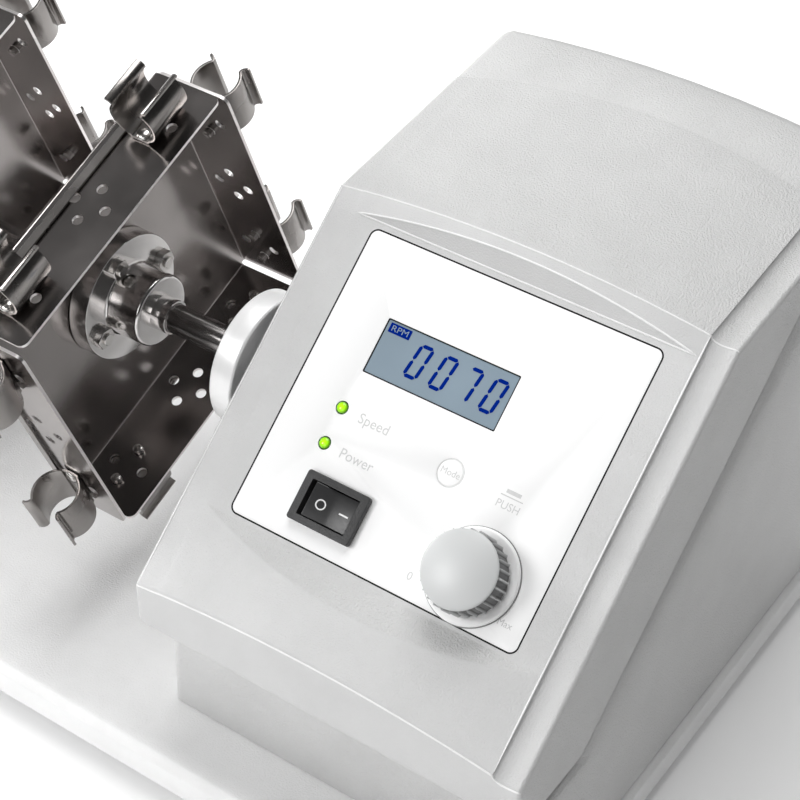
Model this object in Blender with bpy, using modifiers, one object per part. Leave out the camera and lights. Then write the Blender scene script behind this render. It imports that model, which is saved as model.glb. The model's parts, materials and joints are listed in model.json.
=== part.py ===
"""Rotisserie tube rotator: a drive head with a sloped control panel, a low platform,
a left support post, and a rotor of three square steel trays with spring tube clips.

World frame: X runs along the rotor, -Y is the operator's side, Z is up and the feet
stand on Z = 0. The origin is at the centre of the footprint. Lengths are in metres.
"""
import math

import bmesh
import bpy
from mathutils import Matrix, Vector

MM = 0.001
GAP = 0.3 * MM

# Platform, feet and the height of the table-top works
FOOT_HEIGHT = 6 * MM
BASE_LENGTH = 434 * MM
BASE_DEPTH = 204 * MM
BASE_HEIGHT = 12 * MM
BASE_TOP = FOOT_HEIGHT + BASE_HEIGHT
BASE_CORNER = 12 * MM
BASE_CENTRE_Y = -0.9 * MM
WALL = 2.5 * MM
# Places of the feet as (x, y)
FOOT_SPOTS = ((-190 * MM, -80 * MM), (-190 * MM, 78 * MM), (190 * MM, -80 * MM),
              (190 * MM, 78 * MM))

# Control panel plane: its lower left corner, and its tilt from the horizontal
PANEL_CORNER = Vector((100 * MM, -68.9 * MM, 100 * MM))
PANEL_TILT = math.radians(38)
PANEL_WIDTH = 95.4 * MM
PANEL_HEIGHT = 90.2 * MM
PANEL_THICKNESS = 1.2 * MM
PANEL_RADIUS = 2.2 * MM

# Drive head, in the panel's own frame (u across, v up the slope, w out of it)
HEAD_CENTRE_U = 48.2 * MM
HEAD_HALF_WIDTH = 65.6 * MM
HEAD_EDGE = 1.4 * MM
CROWN = 3 * MM
CROWN_HALF_CHORD = 55.75 * MM
# Flat pocket in the crown: its lines in v, and the run of its walls for each rise of one
POCKET_LOW = -1.5 * MM
POCKET_LOW_RUN = 3.25
POCKET_HIGH = 92.6 * MM
POCKET_HIGH_RUN = 1.9
POCKET_RISE = 8 * MM
SEAM_DEPTH = 34 * MM
SEAM_GAP = 0.4 * MM
# Drive head's flat walls, from the panel's corner: Y of upright ones, Z of level ones
FRONT_WALL_Y = -24 * MM
CHIN_Z = -38 * MM
TOP_EDGE_Y = 78.2 * MM
TOP_SLOPE = math.radians(5)
REAR_WALL_Y = 170 * MM
LOWER_FRONT_Y = -12 * MM
LOWER_FRONT_LEAN = 2 * MM
# Rear wall, in world X and Z: inlet, vent slots and cover screws
INLET_X = 186 * MM
INLET_Z = 52 * MM
VENT_X = 122 * MM
VENT_Z = 96 * MM
VENT_ROWS = 6
VENT_PITCH = 7 * MM
COVER_SCREW_SPOTS = ((92 * MM, 30 * MM), (92 * MM, 158 * MM), (204 * MM, 158 * MM))

# Rotor
AXIS = Vector((0, -23.4 * MM, 113 * MM))
ROTOR_REST_ANGLE = math.radians(20)
SHAFT_RADIUS = 4.7 * MM
TRAY_PLATES_X = (19 * MM, -61 * MM, -141 * MM)
TRAY_HALF = 50.5 * MM
TRAY_DEPTH = 24.5 * MM
TRAY_SHEET = 1 * MM
TRAY_CORNER_GAP = 2.4 * MM
CLIP_STATIONS = (-33 * MM, 33 * MM)
CLIP_X = 11.5 * MM
CLIP_HOLE_OFFSET = 6 * MM
SPARE_HOLE_OFFSET = 5.7 * MM
CLIP_THICKNESS = 0.8 * MM
CLIP_HALF_LENGTH = 8 * MM
CLIP_RADIUS = 7.2 * MM
HUB_FACE = 19.2 * MM
HUB_BOLT_REACH = 15.8 * MM
SET_SCREW_X = 10.6 * MM
COLLAR_LEFT = 73.6 * MM
COLLAR_RIGHT = 81.4 * MM
# Left post
POST_X = -201 * MM
POST_WIDTH = 22 * MM
POST_SCREW_SPOTS = ((AXIS.y - 22 * MM, 30 * MM), (AXIS.y + 22 * MM, 30 * MM),
                    (AXIS.y, 127.5 * MM))

# Belt drive
SPINDLE_RADIUS = 5 * MM
MOTOR_AXIS = Vector((0, 36.1 * MM, 80 * MM))
PULLEY_LEFT = 87.5 * MM
PULLEY_WIDTH = 9 * MM
SPINDLE_PULLEY_RADIUS = 12 * MM
MOTOR_PULLEY_RADIUS = 8 * MM
BELT_THICKNESS = 1.4 * MM
CHASSIS_X = 98 * MM
CHASSIS_THICKNESS = 2.5 * MM

# Controls on the panel, in (u, v)
LCD_CENTRE = (39.4 * MM, 60.0 * MM)
LCD_SIZE = (44.2 * MM, 17.0 * MM)
ROCKER_CENTRE = (28.16 * MM, 12.94 * MM)
ROCKER_BEZEL = (21 * MM, 15 * MM, 2 * MM)
ROCKER_OPENING = (16.2 * MM, 10.8 * MM)
ROCKER_REST = math.radians(9)
MODE_CENTRE = (55.5 * MM, 36.3 * MM)
MODE_RADIUS = 4.2 * MM
LED_CENTRES = {"led_speed": (16.9 * MM, 39.8 * MM), "led_power": (17 * MM, 28.7 * MM)}
LED_RADIUS = 1.8 * MM
KNOB_CENTRE = (75 * MM, 13.6 * MM)
KNOB_RADIUS = 11.8 * MM
KNOB_TOP = 13 * MM
KNOB_RIBS = 24
KNOB_REST_TURN = math.radians(-135)


def start_scene():
    """Empty the scene and return the collections for the parts and the cutters."""
    for obj in list(bpy.data.objects):
        bpy.data.objects.remove(obj, do_unlink=True)
    folders = []
    for title in ("tube_rotator", "cutters"):
        folder = bpy.data.collections.new(title)
        bpy.context.scene.collection.children.link(folder)
        folders.append(folder)
    return folders


PARTS, CUTTERS = start_scene()


def make_material(title, colour, roughness, metallic=0.0):
    """A plain Principled material."""
    material = bpy.data.materials.new(title)
    material.use_nodes = True
    shader = material.node_tree.nodes["Principled BSDF"]
    shader.inputs["Base Color"].default_value = (*colour, 1)
    shader.inputs["Roughness"].default_value = roughness
    shader.inputs["Metallic"].default_value = metallic
    return material


LOOKS = {
    "housing": make_material("housing_plastic", (0.68, 0.68, 0.69), 0.5),
    "white": make_material("white_panel", (0.9, 0.9, 0.9), 0.4),
    "black": make_material("black_plastic", (0.02, 0.02, 0.02), 0.4),
    "knob": make_material("knob_plastic", (0.6, 0.6, 0.61), 0.45),
    "steel": make_material("stainless_steel", (0.55, 0.54, 0.52), 0.2, 1.0),
    "aluminium": make_material("aluminium", (0.8, 0.8, 0.82), 0.3, 1.0),
    "rubber": make_material("rubber", (0.03, 0.03, 0.03), 0.8),
    "board": make_material("circuit_board", (0.03, 0.18, 0.08), 0.5),
    "lens": make_material("display_lens", (0.35, 0.4, 0.46), 0.15),
    "led": make_material("led_lens", (0.3, 0.75, 0.05), 0.2),
}


def empty_at(title, location, turn_x=0.0, turn_z=0.0, parent=None):
    """A guide empty that carries a group of parts."""
    guide = bpy.data.objects.new(title, None)
    guide.location = location
    guide.rotation_euler = (turn_x, 0, turn_z)
    guide.parent = parent
    PARTS.objects.link(guide)
    bpy.context.view_layer.update()
    return guide


def link(obj, look=None, parent=None, place=(0, 0, 0), turn=(0, 0, 0)):
    """Put an object in the model, or among the cutters when it has no look."""
    folder = PARTS if look else CUTTERS
    folder.objects.link(obj)
    obj.parent = parent
    obj.location = place
    obj.rotation_euler = turn
    if look:
        obj.data.materials.append(LOOKS[look])
    else:
        obj.hide_render = True
        obj.display_type = "WIRE"
    bpy.context.view_layer.update()
    return obj


def from_bmesh(title, shape, look=None, parent=None, place=(0, 0, 0), turn=(0, 0, 0)):
    """Turn a bmesh into a linked object with outward faces."""
    bmesh.ops.recalc_face_normals(shape, faces=shape.faces)
    mesh = bpy.data.meshes.new(title)
    shape.to_mesh(mesh)
    shape.free()
    return link(bpy.data.objects.new(title, mesh), look, parent, place, turn)


def add_box(shape, size, centre):
    """Add a box to a bmesh."""
    placing = Matrix.Translation(centre) @ Matrix.Diagonal((*size, 1))
    bmesh.ops.create_cube(shape, size=1, matrix=placing)


def box(title, size, centre, look=None, parent=None, place=(0, 0, 0)):
    """A box whose centre is given from its origin."""
    shape = bmesh.new()
    add_box(shape, size, centre)
    return from_bmesh(title, shape, look, parent, place)


AXIS_TURNS = {
    "X": Matrix.Rotation(math.pi / 2, 4, "Y"),
    "Y": Matrix.Rotation(-math.pi / 2, 4, "X"),
    "Z": Matrix.Identity(4),
}


def add_cylinder(shape, radius, length, centre, axis="X", sides=16):
    """Add a cylinder to a bmesh, centred at a point and lying along an axis."""
    placing = Matrix.Translation(centre) @ AXIS_TURNS[axis]
    bmesh.ops.create_cone(shape, cap_ends=True, segments=sides, radius1=radius,
                          radius2=radius, depth=length, matrix=placing)


def cylinder(title, radius, length, centre, axis="X", sides=16, look=None, parent=None,
             place=(0, 0, 0)):
    """A cylinder centred at a point."""
    shape = bmesh.new()
    add_cylinder(shape, radius, length, centre, axis, sides)
    return from_bmesh(title, shape, look, parent, place)


def turned(title, profile, centre, axis="X", sides=16, look=None, parent=None,
           place=(0, 0, 0)):
    """A turned piece: a profile with a Screw modifier, along a chosen axis."""
    shape = bmesh.new()
    points = [shape.verts.new((radius, 0, height)) for radius, height in profile]
    for first, second in zip(points, points[1:]):
        shape.edges.new((first, second))
    if profile[0][0] > 0:
        shape.edges.new((points[-1], points[0]))
    mesh = bpy.data.meshes.new(title)
    shape.to_mesh(mesh)
    shape.free()
    piece = bpy.data.objects.new(title, mesh)
    link(piece, look, parent, place)
    screw = piece.modifiers.new("turn", "SCREW")
    screw.axis = "Z"
    screw.steps = sides
    screw.render_steps = sides
    screw.use_merge_vertices = True
    screw.merge_threshold = 0.00001
    screw.use_normal_calculate = True
    settle(piece)
    piece.data.transform(Matrix.Translation(centre) @ AXIS_TURNS[axis])
    return piece


def settle(piece):
    """Apply the modifiers and keep the faces pointing outwards."""
    bpy.context.view_layer.update()
    graph = bpy.context.evaluated_depsgraph_get()
    mesh = bpy.data.meshes.new_from_object(piece.evaluated_get(graph))
    piece.modifiers.clear()
    shape = bmesh.new()
    shape.from_mesh(mesh)
    bmesh.ops.remove_doubles(shape, verts=shape.verts, dist=0.000001)
    bmesh.ops.recalc_face_normals(shape, faces=shape.faces)
    shape.to_mesh(mesh)
    shape.free()
    piece.data = mesh


def outline(title, loops, thickness, place_matrix, look=None, parent=None):
    """A flat plate: closed 2D loops, filled and extruded, then made a mesh.

    The plate's middle plane is the local XY plane of place_matrix.
    """
    curve = bpy.data.curves.new(title, "CURVE")
    curve.dimensions = "2D"
    curve.fill_mode = "BOTH"
    curve.extrude = thickness / 2
    for loop in loops:
        spline = curve.splines.new("POLY")
        spline.points.add(len(loop) - 1)
        spline.use_cyclic_u = True
        for point, (x, y) in zip(spline.points, loop):
            point.co = (x, y, 0, 1)
    flat = bpy.data.objects.new(title + "_outline", curve)
    CUTTERS.objects.link(flat)
    bpy.context.view_layer.update()
    graph = bpy.context.evaluated_depsgraph_get()
    mesh = bpy.data.meshes.new_from_object(flat.evaluated_get(graph))
    bpy.data.objects.remove(flat)
    shape = bmesh.new()
    shape.from_mesh(mesh)
    bmesh.ops.remove_doubles(shape, verts=shape.verts, dist=0.000001)
    bmesh.ops.transform(shape, matrix=place_matrix, verts=shape.verts)
    return from_bmesh(title, shape, look, parent)


def arc(centre, radius, start, end, steps):
    """Points along an arc; the angles are in degrees."""
    points = []
    for step in range(steps + 1):
        angle = math.radians(start + (end - start) * step / steps)
        points.append((centre[0] + radius * math.cos(angle),
                       centre[1] + radius * math.sin(angle)))
    return points


def rounded_rectangle(width, height, radius, centre=(0, 0), steps=4):
    """The outline of a rectangle with round corners."""
    points = []
    corners = ((1, 1, 0), (-1, 1, 90), (-1, -1, 180), (1, -1, 270))
    for side_x, side_y, start in corners:
        middle = (centre[0] + side_x * (width / 2 - radius),
                  centre[1] + side_y * (height / 2 - radius))
        points += arc(middle, radius, start, start + 90, steps)
    return points


def boolean(piece, other, operation="DIFFERENCE"):
    """Cut a piece by, or join it to, another object, and settle the result."""
    step = piece.modifiers.new(operation.lower(), "BOOLEAN")
    step.operation = operation
    step.solver = "EXACT"
    step.object = other
    settle(piece)
    if operation == "UNION":
        bpy.data.objects.remove(other)


def round_edges(piece, width, segments=2, limit=40):
    """Round the edges sharper than a limit in degrees."""
    bevel = piece.modifiers.new("rounding", "BEVEL")
    bevel.width = width
    bevel.segments = segments
    bevel.limit_method = "ANGLE"
    bevel.angle_limit = math.radians(limit)
    settle(piece)


# Guides: the panel's frame and the rotor's frame
PANEL = empty_at("panel_frame", PANEL_CORNER, turn_x=PANEL_TILT)
ROTOR = empty_at("rotor_frame", AXIS, turn_x=ROTOR_REST_ANGLE)


def crown_height(u):
    """Height of the crowned front above the panel's plane."""
    ratio = (u - HEAD_CENTRE_U) / CROWN_HALF_CHORD
    return CROWN * (1 - ratio * ratio)


def top_line(crown, inset):
    """The top wall's line: it starts where the sloped face reaches the top edge."""
    edge_z = TOP_EDGE_Y * math.tan(PANEL_TILT) + crown / math.cos(PANEL_TILT)
    return wall_line(TOP_NORMAL, (TOP_EDGE_Y, edge_z), inset)


def meet(first, second):
    """The point where two lines meet; a line is (normal y, normal z, distance)."""
    a1, b1, c1 = first
    a2, b2, c2 = second
    determinant = a1 * b2 - a2 * b1
    return ((c1 * b2 - c2 * b1) / determinant, (a1 * c2 - a2 * c1) / determinant)


def wall_line(normal, point, inset):
    """A wall's line with its outward normal, moved inwards by an inset."""
    distance = normal[0] * point[0] + normal[1] * point[1] - inset
    return (normal[0], normal[1], distance)


SLOPE_NORMAL = (-math.sin(PANEL_TILT), math.cos(PANEL_TILT))
TOP_NORMAL = (-math.sin(TOP_SLOPE), math.cos(TOP_SLOPE))


def rounded_section(lines, radii, steps):
    """Corner points of a polygon of wall lines, each corner rounded by its radius."""
    corners = []
    for index, line in enumerate(lines):
        corners.append(meet(line, lines[(index + 1) % len(lines)]))
    points = []
    for index, corner in enumerate(corners):
        before = Vector(corners[index - 1])
        after = Vector(corners[(index + 1) % len(corners)])
        here = Vector(corner)
        back = (before - here).normalized()
        ahead = (after - here).normalized()
        radius = radii[index]
        if radius == 0:
            points.append(corner)
            continue
        half = back.angle(ahead) / 2
        tangent = radius / math.tan(half)
        middle = here + (back + ahead).normalized() * radius / math.sin(half)
        first = here + back * tangent - middle
        last = here + ahead * tangent - middle
        sweep = first.angle_signed(last)
        for step in range(steps + 1):
            angle = -sweep * step / steps
            turn = Matrix.Rotation(angle, 2)
            spot = middle + turn @ first
            points.append((spot.x, spot.y))
    return points


def loft(title, stations, section, look=None):
    """Skin a solid over sections in YZ planes; sections take (x, inset, seam shift)."""
    shape = bmesh.new()
    rings = []
    for x, inset, seam_shift in stations:
        ring = []
        for y, z in section(x, inset, seam_shift):
            ring.append(shape.verts.new((x + PANEL_CORNER.x, y + PANEL_CORNER.y,
                                         z + PANEL_CORNER.z)))
        rings.append(ring)
    for left, right in zip(rings, rings[1:]):
        count = len(left)
        for index in range(count):
            after = (index + 1) % count
            shape.faces.new((left[index], left[after], right[after], right[index]))
    shape.faces.new(rings[0])
    shape.faces.new(reversed(rings[-1]))
    return from_bmesh(title, shape, look)


def head_stations(half_width, edge_radius, inset, chamfer=0.0, chamfer_width=1.4 * MM):
    """Stations across the head: rounded side edges and a smooth crown between."""
    offsets = [1.0, 0.55, 0.15, 0.0]
    ends = []
    for share in offsets:
        run = edge_radius * share
        drop = edge_radius - math.sqrt(edge_radius ** 2 - (edge_radius - run) ** 2)
        shift = chamfer * max(0.0, 1 - run / chamfer_width)
        ends.append((run, drop, shift))
    stations = []
    for run, drop, shift in reversed(ends):
        stations.append((HEAD_CENTRE_U - half_width + run, inset + drop, shift))
    inner_steps = 8
    span = 2 * (half_width - edge_radius)
    for step in range(1, inner_steps):
        x = HEAD_CENTRE_U - half_width + edge_radius + span * step / inner_steps
        stations.append((x, inset, 0.0))
    for run, drop, shift in ends:
        stations.append((HEAD_CENTRE_U + half_width - run, inset + drop, shift))
    return stations


def front_section(x, inset, seam_shift):
    """Front cover's side profile at a station, clockwise from the seam's top end."""
    return front_profile(crown_height(x), inset, seam_shift)


def front_profile(crown, inset, seam_shift):
    """Side profile of the front cover for a crown height."""
    crown_point = (SLOPE_NORMAL[0] * crown, SLOPE_NORMAL[1] * crown)
    seam_point = (-SLOPE_NORMAL[0] * SEAM_DEPTH, -SLOPE_NORMAL[1] * SEAM_DEPTH)
    lines = [
        top_line(crown, inset),
        wall_line(SLOPE_NORMAL, crown_point, inset),
        wall_line((-1, 0), (FRONT_WALL_Y, 0), inset),
        wall_line((0, -1), (0, CHIN_Z), inset),
        wall_line((-SLOPE_NORMAL[0], -SLOPE_NORMAL[1]), seam_point, seam_shift),
    ]
    return rounded_section(lines, (2.2 * MM, 2.6 * MM, 4 * MM, 0, 0), 3)


def flat_hollow_section(x, inset, seam_shift):
    """The hollow under the front cover: flat, so that the pocket keeps a full wall."""
    return front_profile(0.0, inset, -5 * MM)


def front_cover():
    """The sloped front shell: crowned face, flat pocket, panel recess and openings."""
    cover = loft("front_cover", head_stations(HEAD_HALF_WIDTH, HEAD_EDGE, 0), front_section,
                 "housing")
    hollow = loft("front_hollow", head_stations(HEAD_HALF_WIDTH - WALL, HEAD_EDGE, WALL),
                  flat_hollow_section)
    boolean(cover, hollow)
    cutters = [
        pocket_cutter(),
        outline("recess", [rounded_rectangle(
            PANEL_WIDTH + 2 * GAP, PANEL_HEIGHT + 2 * GAP, PANEL_RADIUS + GAP,
            (PANEL_WIDTH / 2, PANEL_HEIGHT / 2), 3)], 10 * MM,
            Matrix.Translation((0, 0, 5 * MM - PANEL_THICKNESS - GAP)), None, PANEL),
        panel_hole("lcd_opening", LCD_CENTRE, (LCD_SIZE[0] - 2 * MM, LCD_SIZE[1] - 2 * MM)),
        panel_hole("rocker_cutout", ROCKER_CENTRE, (19.8 * MM, 13.4 * MM)),
        panel_bore("encoder_hole", KNOB_CENTRE, 4 * MM),
        panel_bore("mode_hole", MODE_CENTRE, 3 * MM),
        cylinder("spindle_opening", 8 * MM, 12 * MM, (HEAD_CENTRE_U - HEAD_HALF_WIDTH
                 + PANEL_CORNER.x, AXIS.y, AXIS.z), "X", 16),
    ]
    for title, centre in LED_CENTRES.items():
        cutters.append(panel_bore(title + "_hole", centre, LED_RADIUS + GAP))
    for cutter in cutters:
        boolean(cover, cutter)
    return cover


def pocket_cutter():
    """Flat pocket around the panel, with sloping walls along its top and bottom."""
    profile = [(POCKET_LOW, 0), (POCKET_HIGH, 0),
               (POCKET_HIGH + POCKET_HIGH_RUN * POCKET_RISE, POCKET_RISE),
               (POCKET_LOW - POCKET_LOW_RUN * POCKET_RISE, POCKET_RISE)]
    shape = bmesh.new()
    rings = []
    for u in (-40 * MM, 140 * MM):
        rings.append([shape.verts.new((u, v, w)) for v, w in profile])
    count = len(profile)
    for index in range(count):
        after = (index + 1) % count
        shape.faces.new((rings[0][index], rings[0][after], rings[1][after], rings[1][index]))
    shape.faces.new(rings[0])
    shape.faces.new(reversed(rings[1]))
    return from_bmesh("pocket", shape, None, PANEL)


def panel_hole(title, centre, size, depth=12 * MM):
    """A rectangular cutter through the sloped face."""
    return box(title, (*size, depth), (*centre, 0), None, PANEL)


def panel_bore(title, centre, radius, sides=12):
    """A round cutter through the sloped face."""
    return cylinder(title, radius, 12 * MM, (*centre, 0), "Z", sides, None, PANEL)


def rear_section(x, inset, seam_shift):
    """Rear cover's side profile at a station, clockwise from the seam's top end."""
    seam = SEAM_DEPTH + SEAM_GAP
    seam_point = (-SLOPE_NORMAL[0] * seam, -SLOPE_NORMAL[1] * seam)
    floor = BASE_TOP + GAP - PANEL_CORNER.z
    lean = Vector((LOWER_FRONT_LEAN, CHIN_Z - floor)).normalized()
    lines = [
        wall_line(SLOPE_NORMAL, seam_point, seam_shift),
        top_line(crown_height(x), inset),
        wall_line((1, 0), (REAR_WALL_Y, 0), inset),
        wall_line((0, -1), (0, floor), 0.0),
        wall_line((-lean.y, lean.x), (LOWER_FRONT_Y, floor), inset),
        wall_line((0, 1), (0, CHIN_Z - SEAM_GAP), inset),
    ]
    return rounded_section(lines, (0, 5 * MM, 0, 0, 0, 0), 3)


def rear_cover():
    """The body behind the seam: open to the front cover and to the platform."""
    half = HEAD_HALF_WIDTH + 1.4 * MM
    cover = loft("rear_cover", head_stations(half, 4 * MM, 0, 8.1 * MM), rear_section,
                 "housing")
    floor = BASE_TOP - PANEL_CORNER.z

    def hollow_section(x, inset, seam_shift):
        points = rear_section(x, inset, -4 * MM)
        return [(y, z - 5 * MM if z < floor + 1 * MM else z) for y, z in points]

    hollow = loft("rear_hollow", head_stations(half - WALL, 2 * MM, WALL), hollow_section)
    boolean(cover, hollow)
    rear_y = REAR_WALL_Y + PANEL_CORNER.y
    inlet = box("inlet_cutout", (28.6 * MM, 12 * MM, 41.6 * MM), (INLET_X, rear_y, INLET_Z))
    boolean(cover, inlet)
    for row in range(VENT_ROWS):
        height = VENT_Z + row * VENT_PITCH
        slot = box("vent", (44 * MM, 12 * MM, 2.6 * MM), (VENT_X, rear_y, height))
        boolean(cover, slot)
    for x, z in COVER_SCREW_SPOTS:
        hole = cylinder("screw_hole", 1.9 * MM, 12 * MM, (x, rear_y, z), "Y", 8)
        boolean(cover, hole)
    return cover


def base_platform():
    """Low platform under the head, the rotor and the post: an open tray upside down."""
    shape = bmesh.new()
    loops = rounded_rectangle(BASE_LENGTH, BASE_DEPTH, BASE_CORNER, (0, BASE_CENTRE_Y), 4)
    levels = (FOOT_HEIGHT, BASE_TOP - 2.5 * MM, BASE_TOP)
    insets = (0.0, 0.0, 2.5 * MM)
    rings = []
    for level, inset in zip(levels, insets):
        ring = []
        for x, y in loops:
            scale_x = 1 - 2 * inset / BASE_LENGTH
            scale_y = 1 - 2 * inset / BASE_DEPTH
            ring.append(shape.verts.new((x * scale_x, BASE_CENTRE_Y
                                         + (y - BASE_CENTRE_Y) * scale_y, level)))
        rings.append(ring)
    for lower, upper in zip(rings, rings[1:]):
        for index in range(len(lower)):
            after = (index + 1) % len(lower)
            shape.faces.new((lower[index], lower[after], upper[after], upper[index]))
    shape.faces.new(rings[-1])
    base = from_bmesh("base_platform", shape, "housing")
    shell = base.modifiers.new("shell", "SOLIDIFY")
    shell.thickness = WALL
    shell.offset = -1
    shell.use_even_offset = True
    settle(base)
    return base


def bottom_plate():
    """Sheet steel plate that closes the platform from below."""
    rim = WALL + GAP
    plate = outline("bottom_plate", [rounded_rectangle(
        BASE_LENGTH - 2 * rim, BASE_DEPTH - 2 * rim, BASE_CORNER - rim,
        (0, BASE_CENTRE_Y), 4)], 1.2 * MM,
        Matrix.Translation((0, 0, FOOT_HEIGHT + 0.6 * MM)), "steel")
    for x, y in FOOT_SPOTS:
        hole = cylinder("foot_hole", 2.2 * MM, 6 * MM, (x, y, FOOT_HEIGHT), "Z", 8)
        boolean(plate, hole)
    return plate


def feet():
    """Four rubber feet with a countersink and a hole for a screw."""
    top = FOOT_HEIGHT - GAP
    profile = [(2.3 * MM, top), (9 * MM, top), (8 * MM, 0), (5 * MM, 0), (5 * MM, 2.6 * MM),
               (2.3 * MM, 2.6 * MM)]
    for number, (x, y) in enumerate(FOOT_SPOTS, 1):
        turned(f"foot_{number}", profile, (x, y, 0), "Z", 12, "rubber")


def control_panel():
    """White faceplate with its window, lamp, button, knob and switch openings."""
    plate = outline("control_panel", [
        rounded_rectangle(PANEL_WIDTH, PANEL_HEIGHT, PANEL_RADIUS,
                          (PANEL_WIDTH / 2, PANEL_HEIGHT / 2), 4),
        rounded_rectangle(*LCD_SIZE, 0.4 * MM, LCD_CENTRE, 1),
        rounded_rectangle(19.8 * MM, 13.4 * MM, 0.4 * MM, ROCKER_CENTRE, 1),
        arc(KNOB_CENTRE, 4 * MM, 0, 330, 11),
        arc(MODE_CENTRE, MODE_RADIUS, 0, 340, 17),
        arc(LED_CENTRES["led_speed"], LED_RADIUS + 0.2 * MM, 0, 330, 11),
        arc(LED_CENTRES["led_power"], LED_RADIUS + 0.2 * MM, 0, 330, 11),
    ], PANEL_THICKNESS, Matrix.Translation((0, 0, -PANEL_THICKNESS / 2)), "white", PANEL)
    return plate


def display():
    """Display window flush with the panel, and the display module behind it."""
    width, height = LCD_SIZE
    outline("lcd_window", [rounded_rectangle(width - 0.6 * MM, height - 0.6 * MM, 0.3 * MM,
                                             LCD_CENTRE, 1)], 0.9 * MM,
            Matrix.Translation((0, 0, -0.65 * MM)), "lens", PANEL)
    box("lcd_module", (52 * MM, 25 * MM, 3.6 * MM), (*LCD_CENTRE, -5.2 * MM), "black", PANEL)


def lamps():
    """Two green indicator lamps with domed lenses."""
    for title, centre in LED_CENTRES.items():
        radius = LED_RADIUS - 0.1 * MM
        profile = [(0, 0.7 * MM), (radius * 0.5, 0.55 * MM), (radius * 0.87, 0.2 * MM),
                   (radius, -0.4 * MM), (radius, -7 * MM), (0, -7 * MM)]
        turned(title, profile, (*centre, 0), "Z", 12, "led", PANEL)


def rocker_switch():
    """Mains rocker: snap-in body with its bezel, and the rocker on its pivot."""
    bezel = box("rocker_bezel", ROCKER_BEZEL, (*ROCKER_CENTRE, ROCKER_BEZEL[2] / 2 + GAP),
                "black", PANEL)
    round_edges(bezel, 0.5 * MM, 1, 60)
    body = box("rocker_body", (19.2 * MM, 12.8 * MM, 14 * MM), (*ROCKER_CENTRE, -6.5 * MM),
               "black", PANEL)
    boolean(bezel, body, "UNION")
    well = box("rocker_well", (*ROCKER_OPENING, 14 * MM), (*ROCKER_CENTRE, -3.5 * MM), None,
               PANEL)
    boolean(bezel, well)
    pivot = Vector((*ROCKER_CENTRE, -3 * MM))
    profile = [(-7 * MM, 5.2 * MM), (0, 4.3 * MM), (7 * MM, 5.2 * MM), (6.4 * MM, -1 * MM),
               (1.5 * MM, -3 * MM), (-1.5 * MM, -3 * MM), (-6.4 * MM, -1 * MM)]
    shape = bmesh.new()
    width = ROCKER_OPENING[1] - 2 * GAP
    rings = []
    for side in (-width / 2, width / 2):
        rings.append([shape.verts.new((u, side, w)) for u, w in profile])
    count = len(profile)
    for index in range(count):
        after = (index + 1) % count
        shape.faces.new((rings[0][index], rings[0][after], rings[1][after], rings[1][index]))
    shape.faces.new(rings[0])
    shape.faces.new(reversed(rings[1]))
    from_bmesh("rocker_key", shape, "black", PANEL, pivot, (0, ROCKER_REST, 0))


def mode_button():
    """Flush round button and the small push switch behind it."""
    cap = [(0, 0), (MODE_RADIUS - GAP, 0), (MODE_RADIUS - GAP, -1.0 * MM), (2.4 * MM, -1.0 * MM),
           (2.4 * MM, -3.6 * MM), (0, -3.6 * MM)]
    turned("mode_button", cap, (0, 0, 0), "Z", 24, "white", PANEL, (*MODE_CENTRE, 0))
    shape = bmesh.new()
    add_box(shape, (6 * MM, 6 * MM, 2.6 * MM), (*MODE_CENTRE, -5.7 * MM))
    from_bmesh("mode_switch", shape, "black", PANEL)


def main_board():
    """Control circuit board under the panel, notched around the mains switch."""
    board = box("main_board", (77.5 * MM, 84 * MM, 1.6 * MM),
                (52.25 * MM, 45 * MM, -8.4 * MM), "board", PANEL)
    notch = box("board_notch", (40 * MM, 30 * MM, 6 * MM), (22 * MM, 10 * MM, -8.4 * MM),
                None, PANEL)
    boolean(board, notch)
    return board


def knob_group():
    """Speed knob: base ring, encoder, its plunger and shaft, and the fluted knob."""
    place = (*KNOB_CENTRE, 0)
    ring = [(9.6 * MM, GAP), (9.6 * MM, 1.0 * MM), (10.4 * MM, 1.4 * MM), (13.2 * MM, 1.4 * MM),
            (13.8 * MM, 0.8 * MM), (13.8 * MM, GAP)]
    turned("knob_ring", list(reversed(ring)), (0, 0, 0), "Z", 32, "white", PANEL, place)
    encoder = box("encoder", (12.4 * MM, 13 * MM, 4.2 * MM), (0, 0, -5.2 * MM), "black",
                  PANEL, place)
    bore = cylinder("encoder_bore", 3.4 * MM, 12 * MM, (0, 0, 0), "Z", 12, None, PANEL,
                    (*KNOB_CENTRE, -0.8 * MM))
    boolean(encoder, bore)
    plunger = [(0, -5.9 * MM), (2.9 * MM, -5.9 * MM), (2.9 * MM, -6.3 * MM), (0, -6.3 * MM)]
    turned("encoder_plunger", plunger, (0, 0, 0), "Z", 12, "steel", PANEL, place)
    shaft = [(0, 9.5 * MM), (2.5 * MM, 9.5 * MM), (3 * MM, 9 * MM), (3 * MM, -5.6 * MM),
             (0, -5.6 * MM)]
    turned("encoder_shaft", shaft, (0, 0, 0), "Z", 12, "aluminium", PANEL, place)
    fluted_knob(place)


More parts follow.
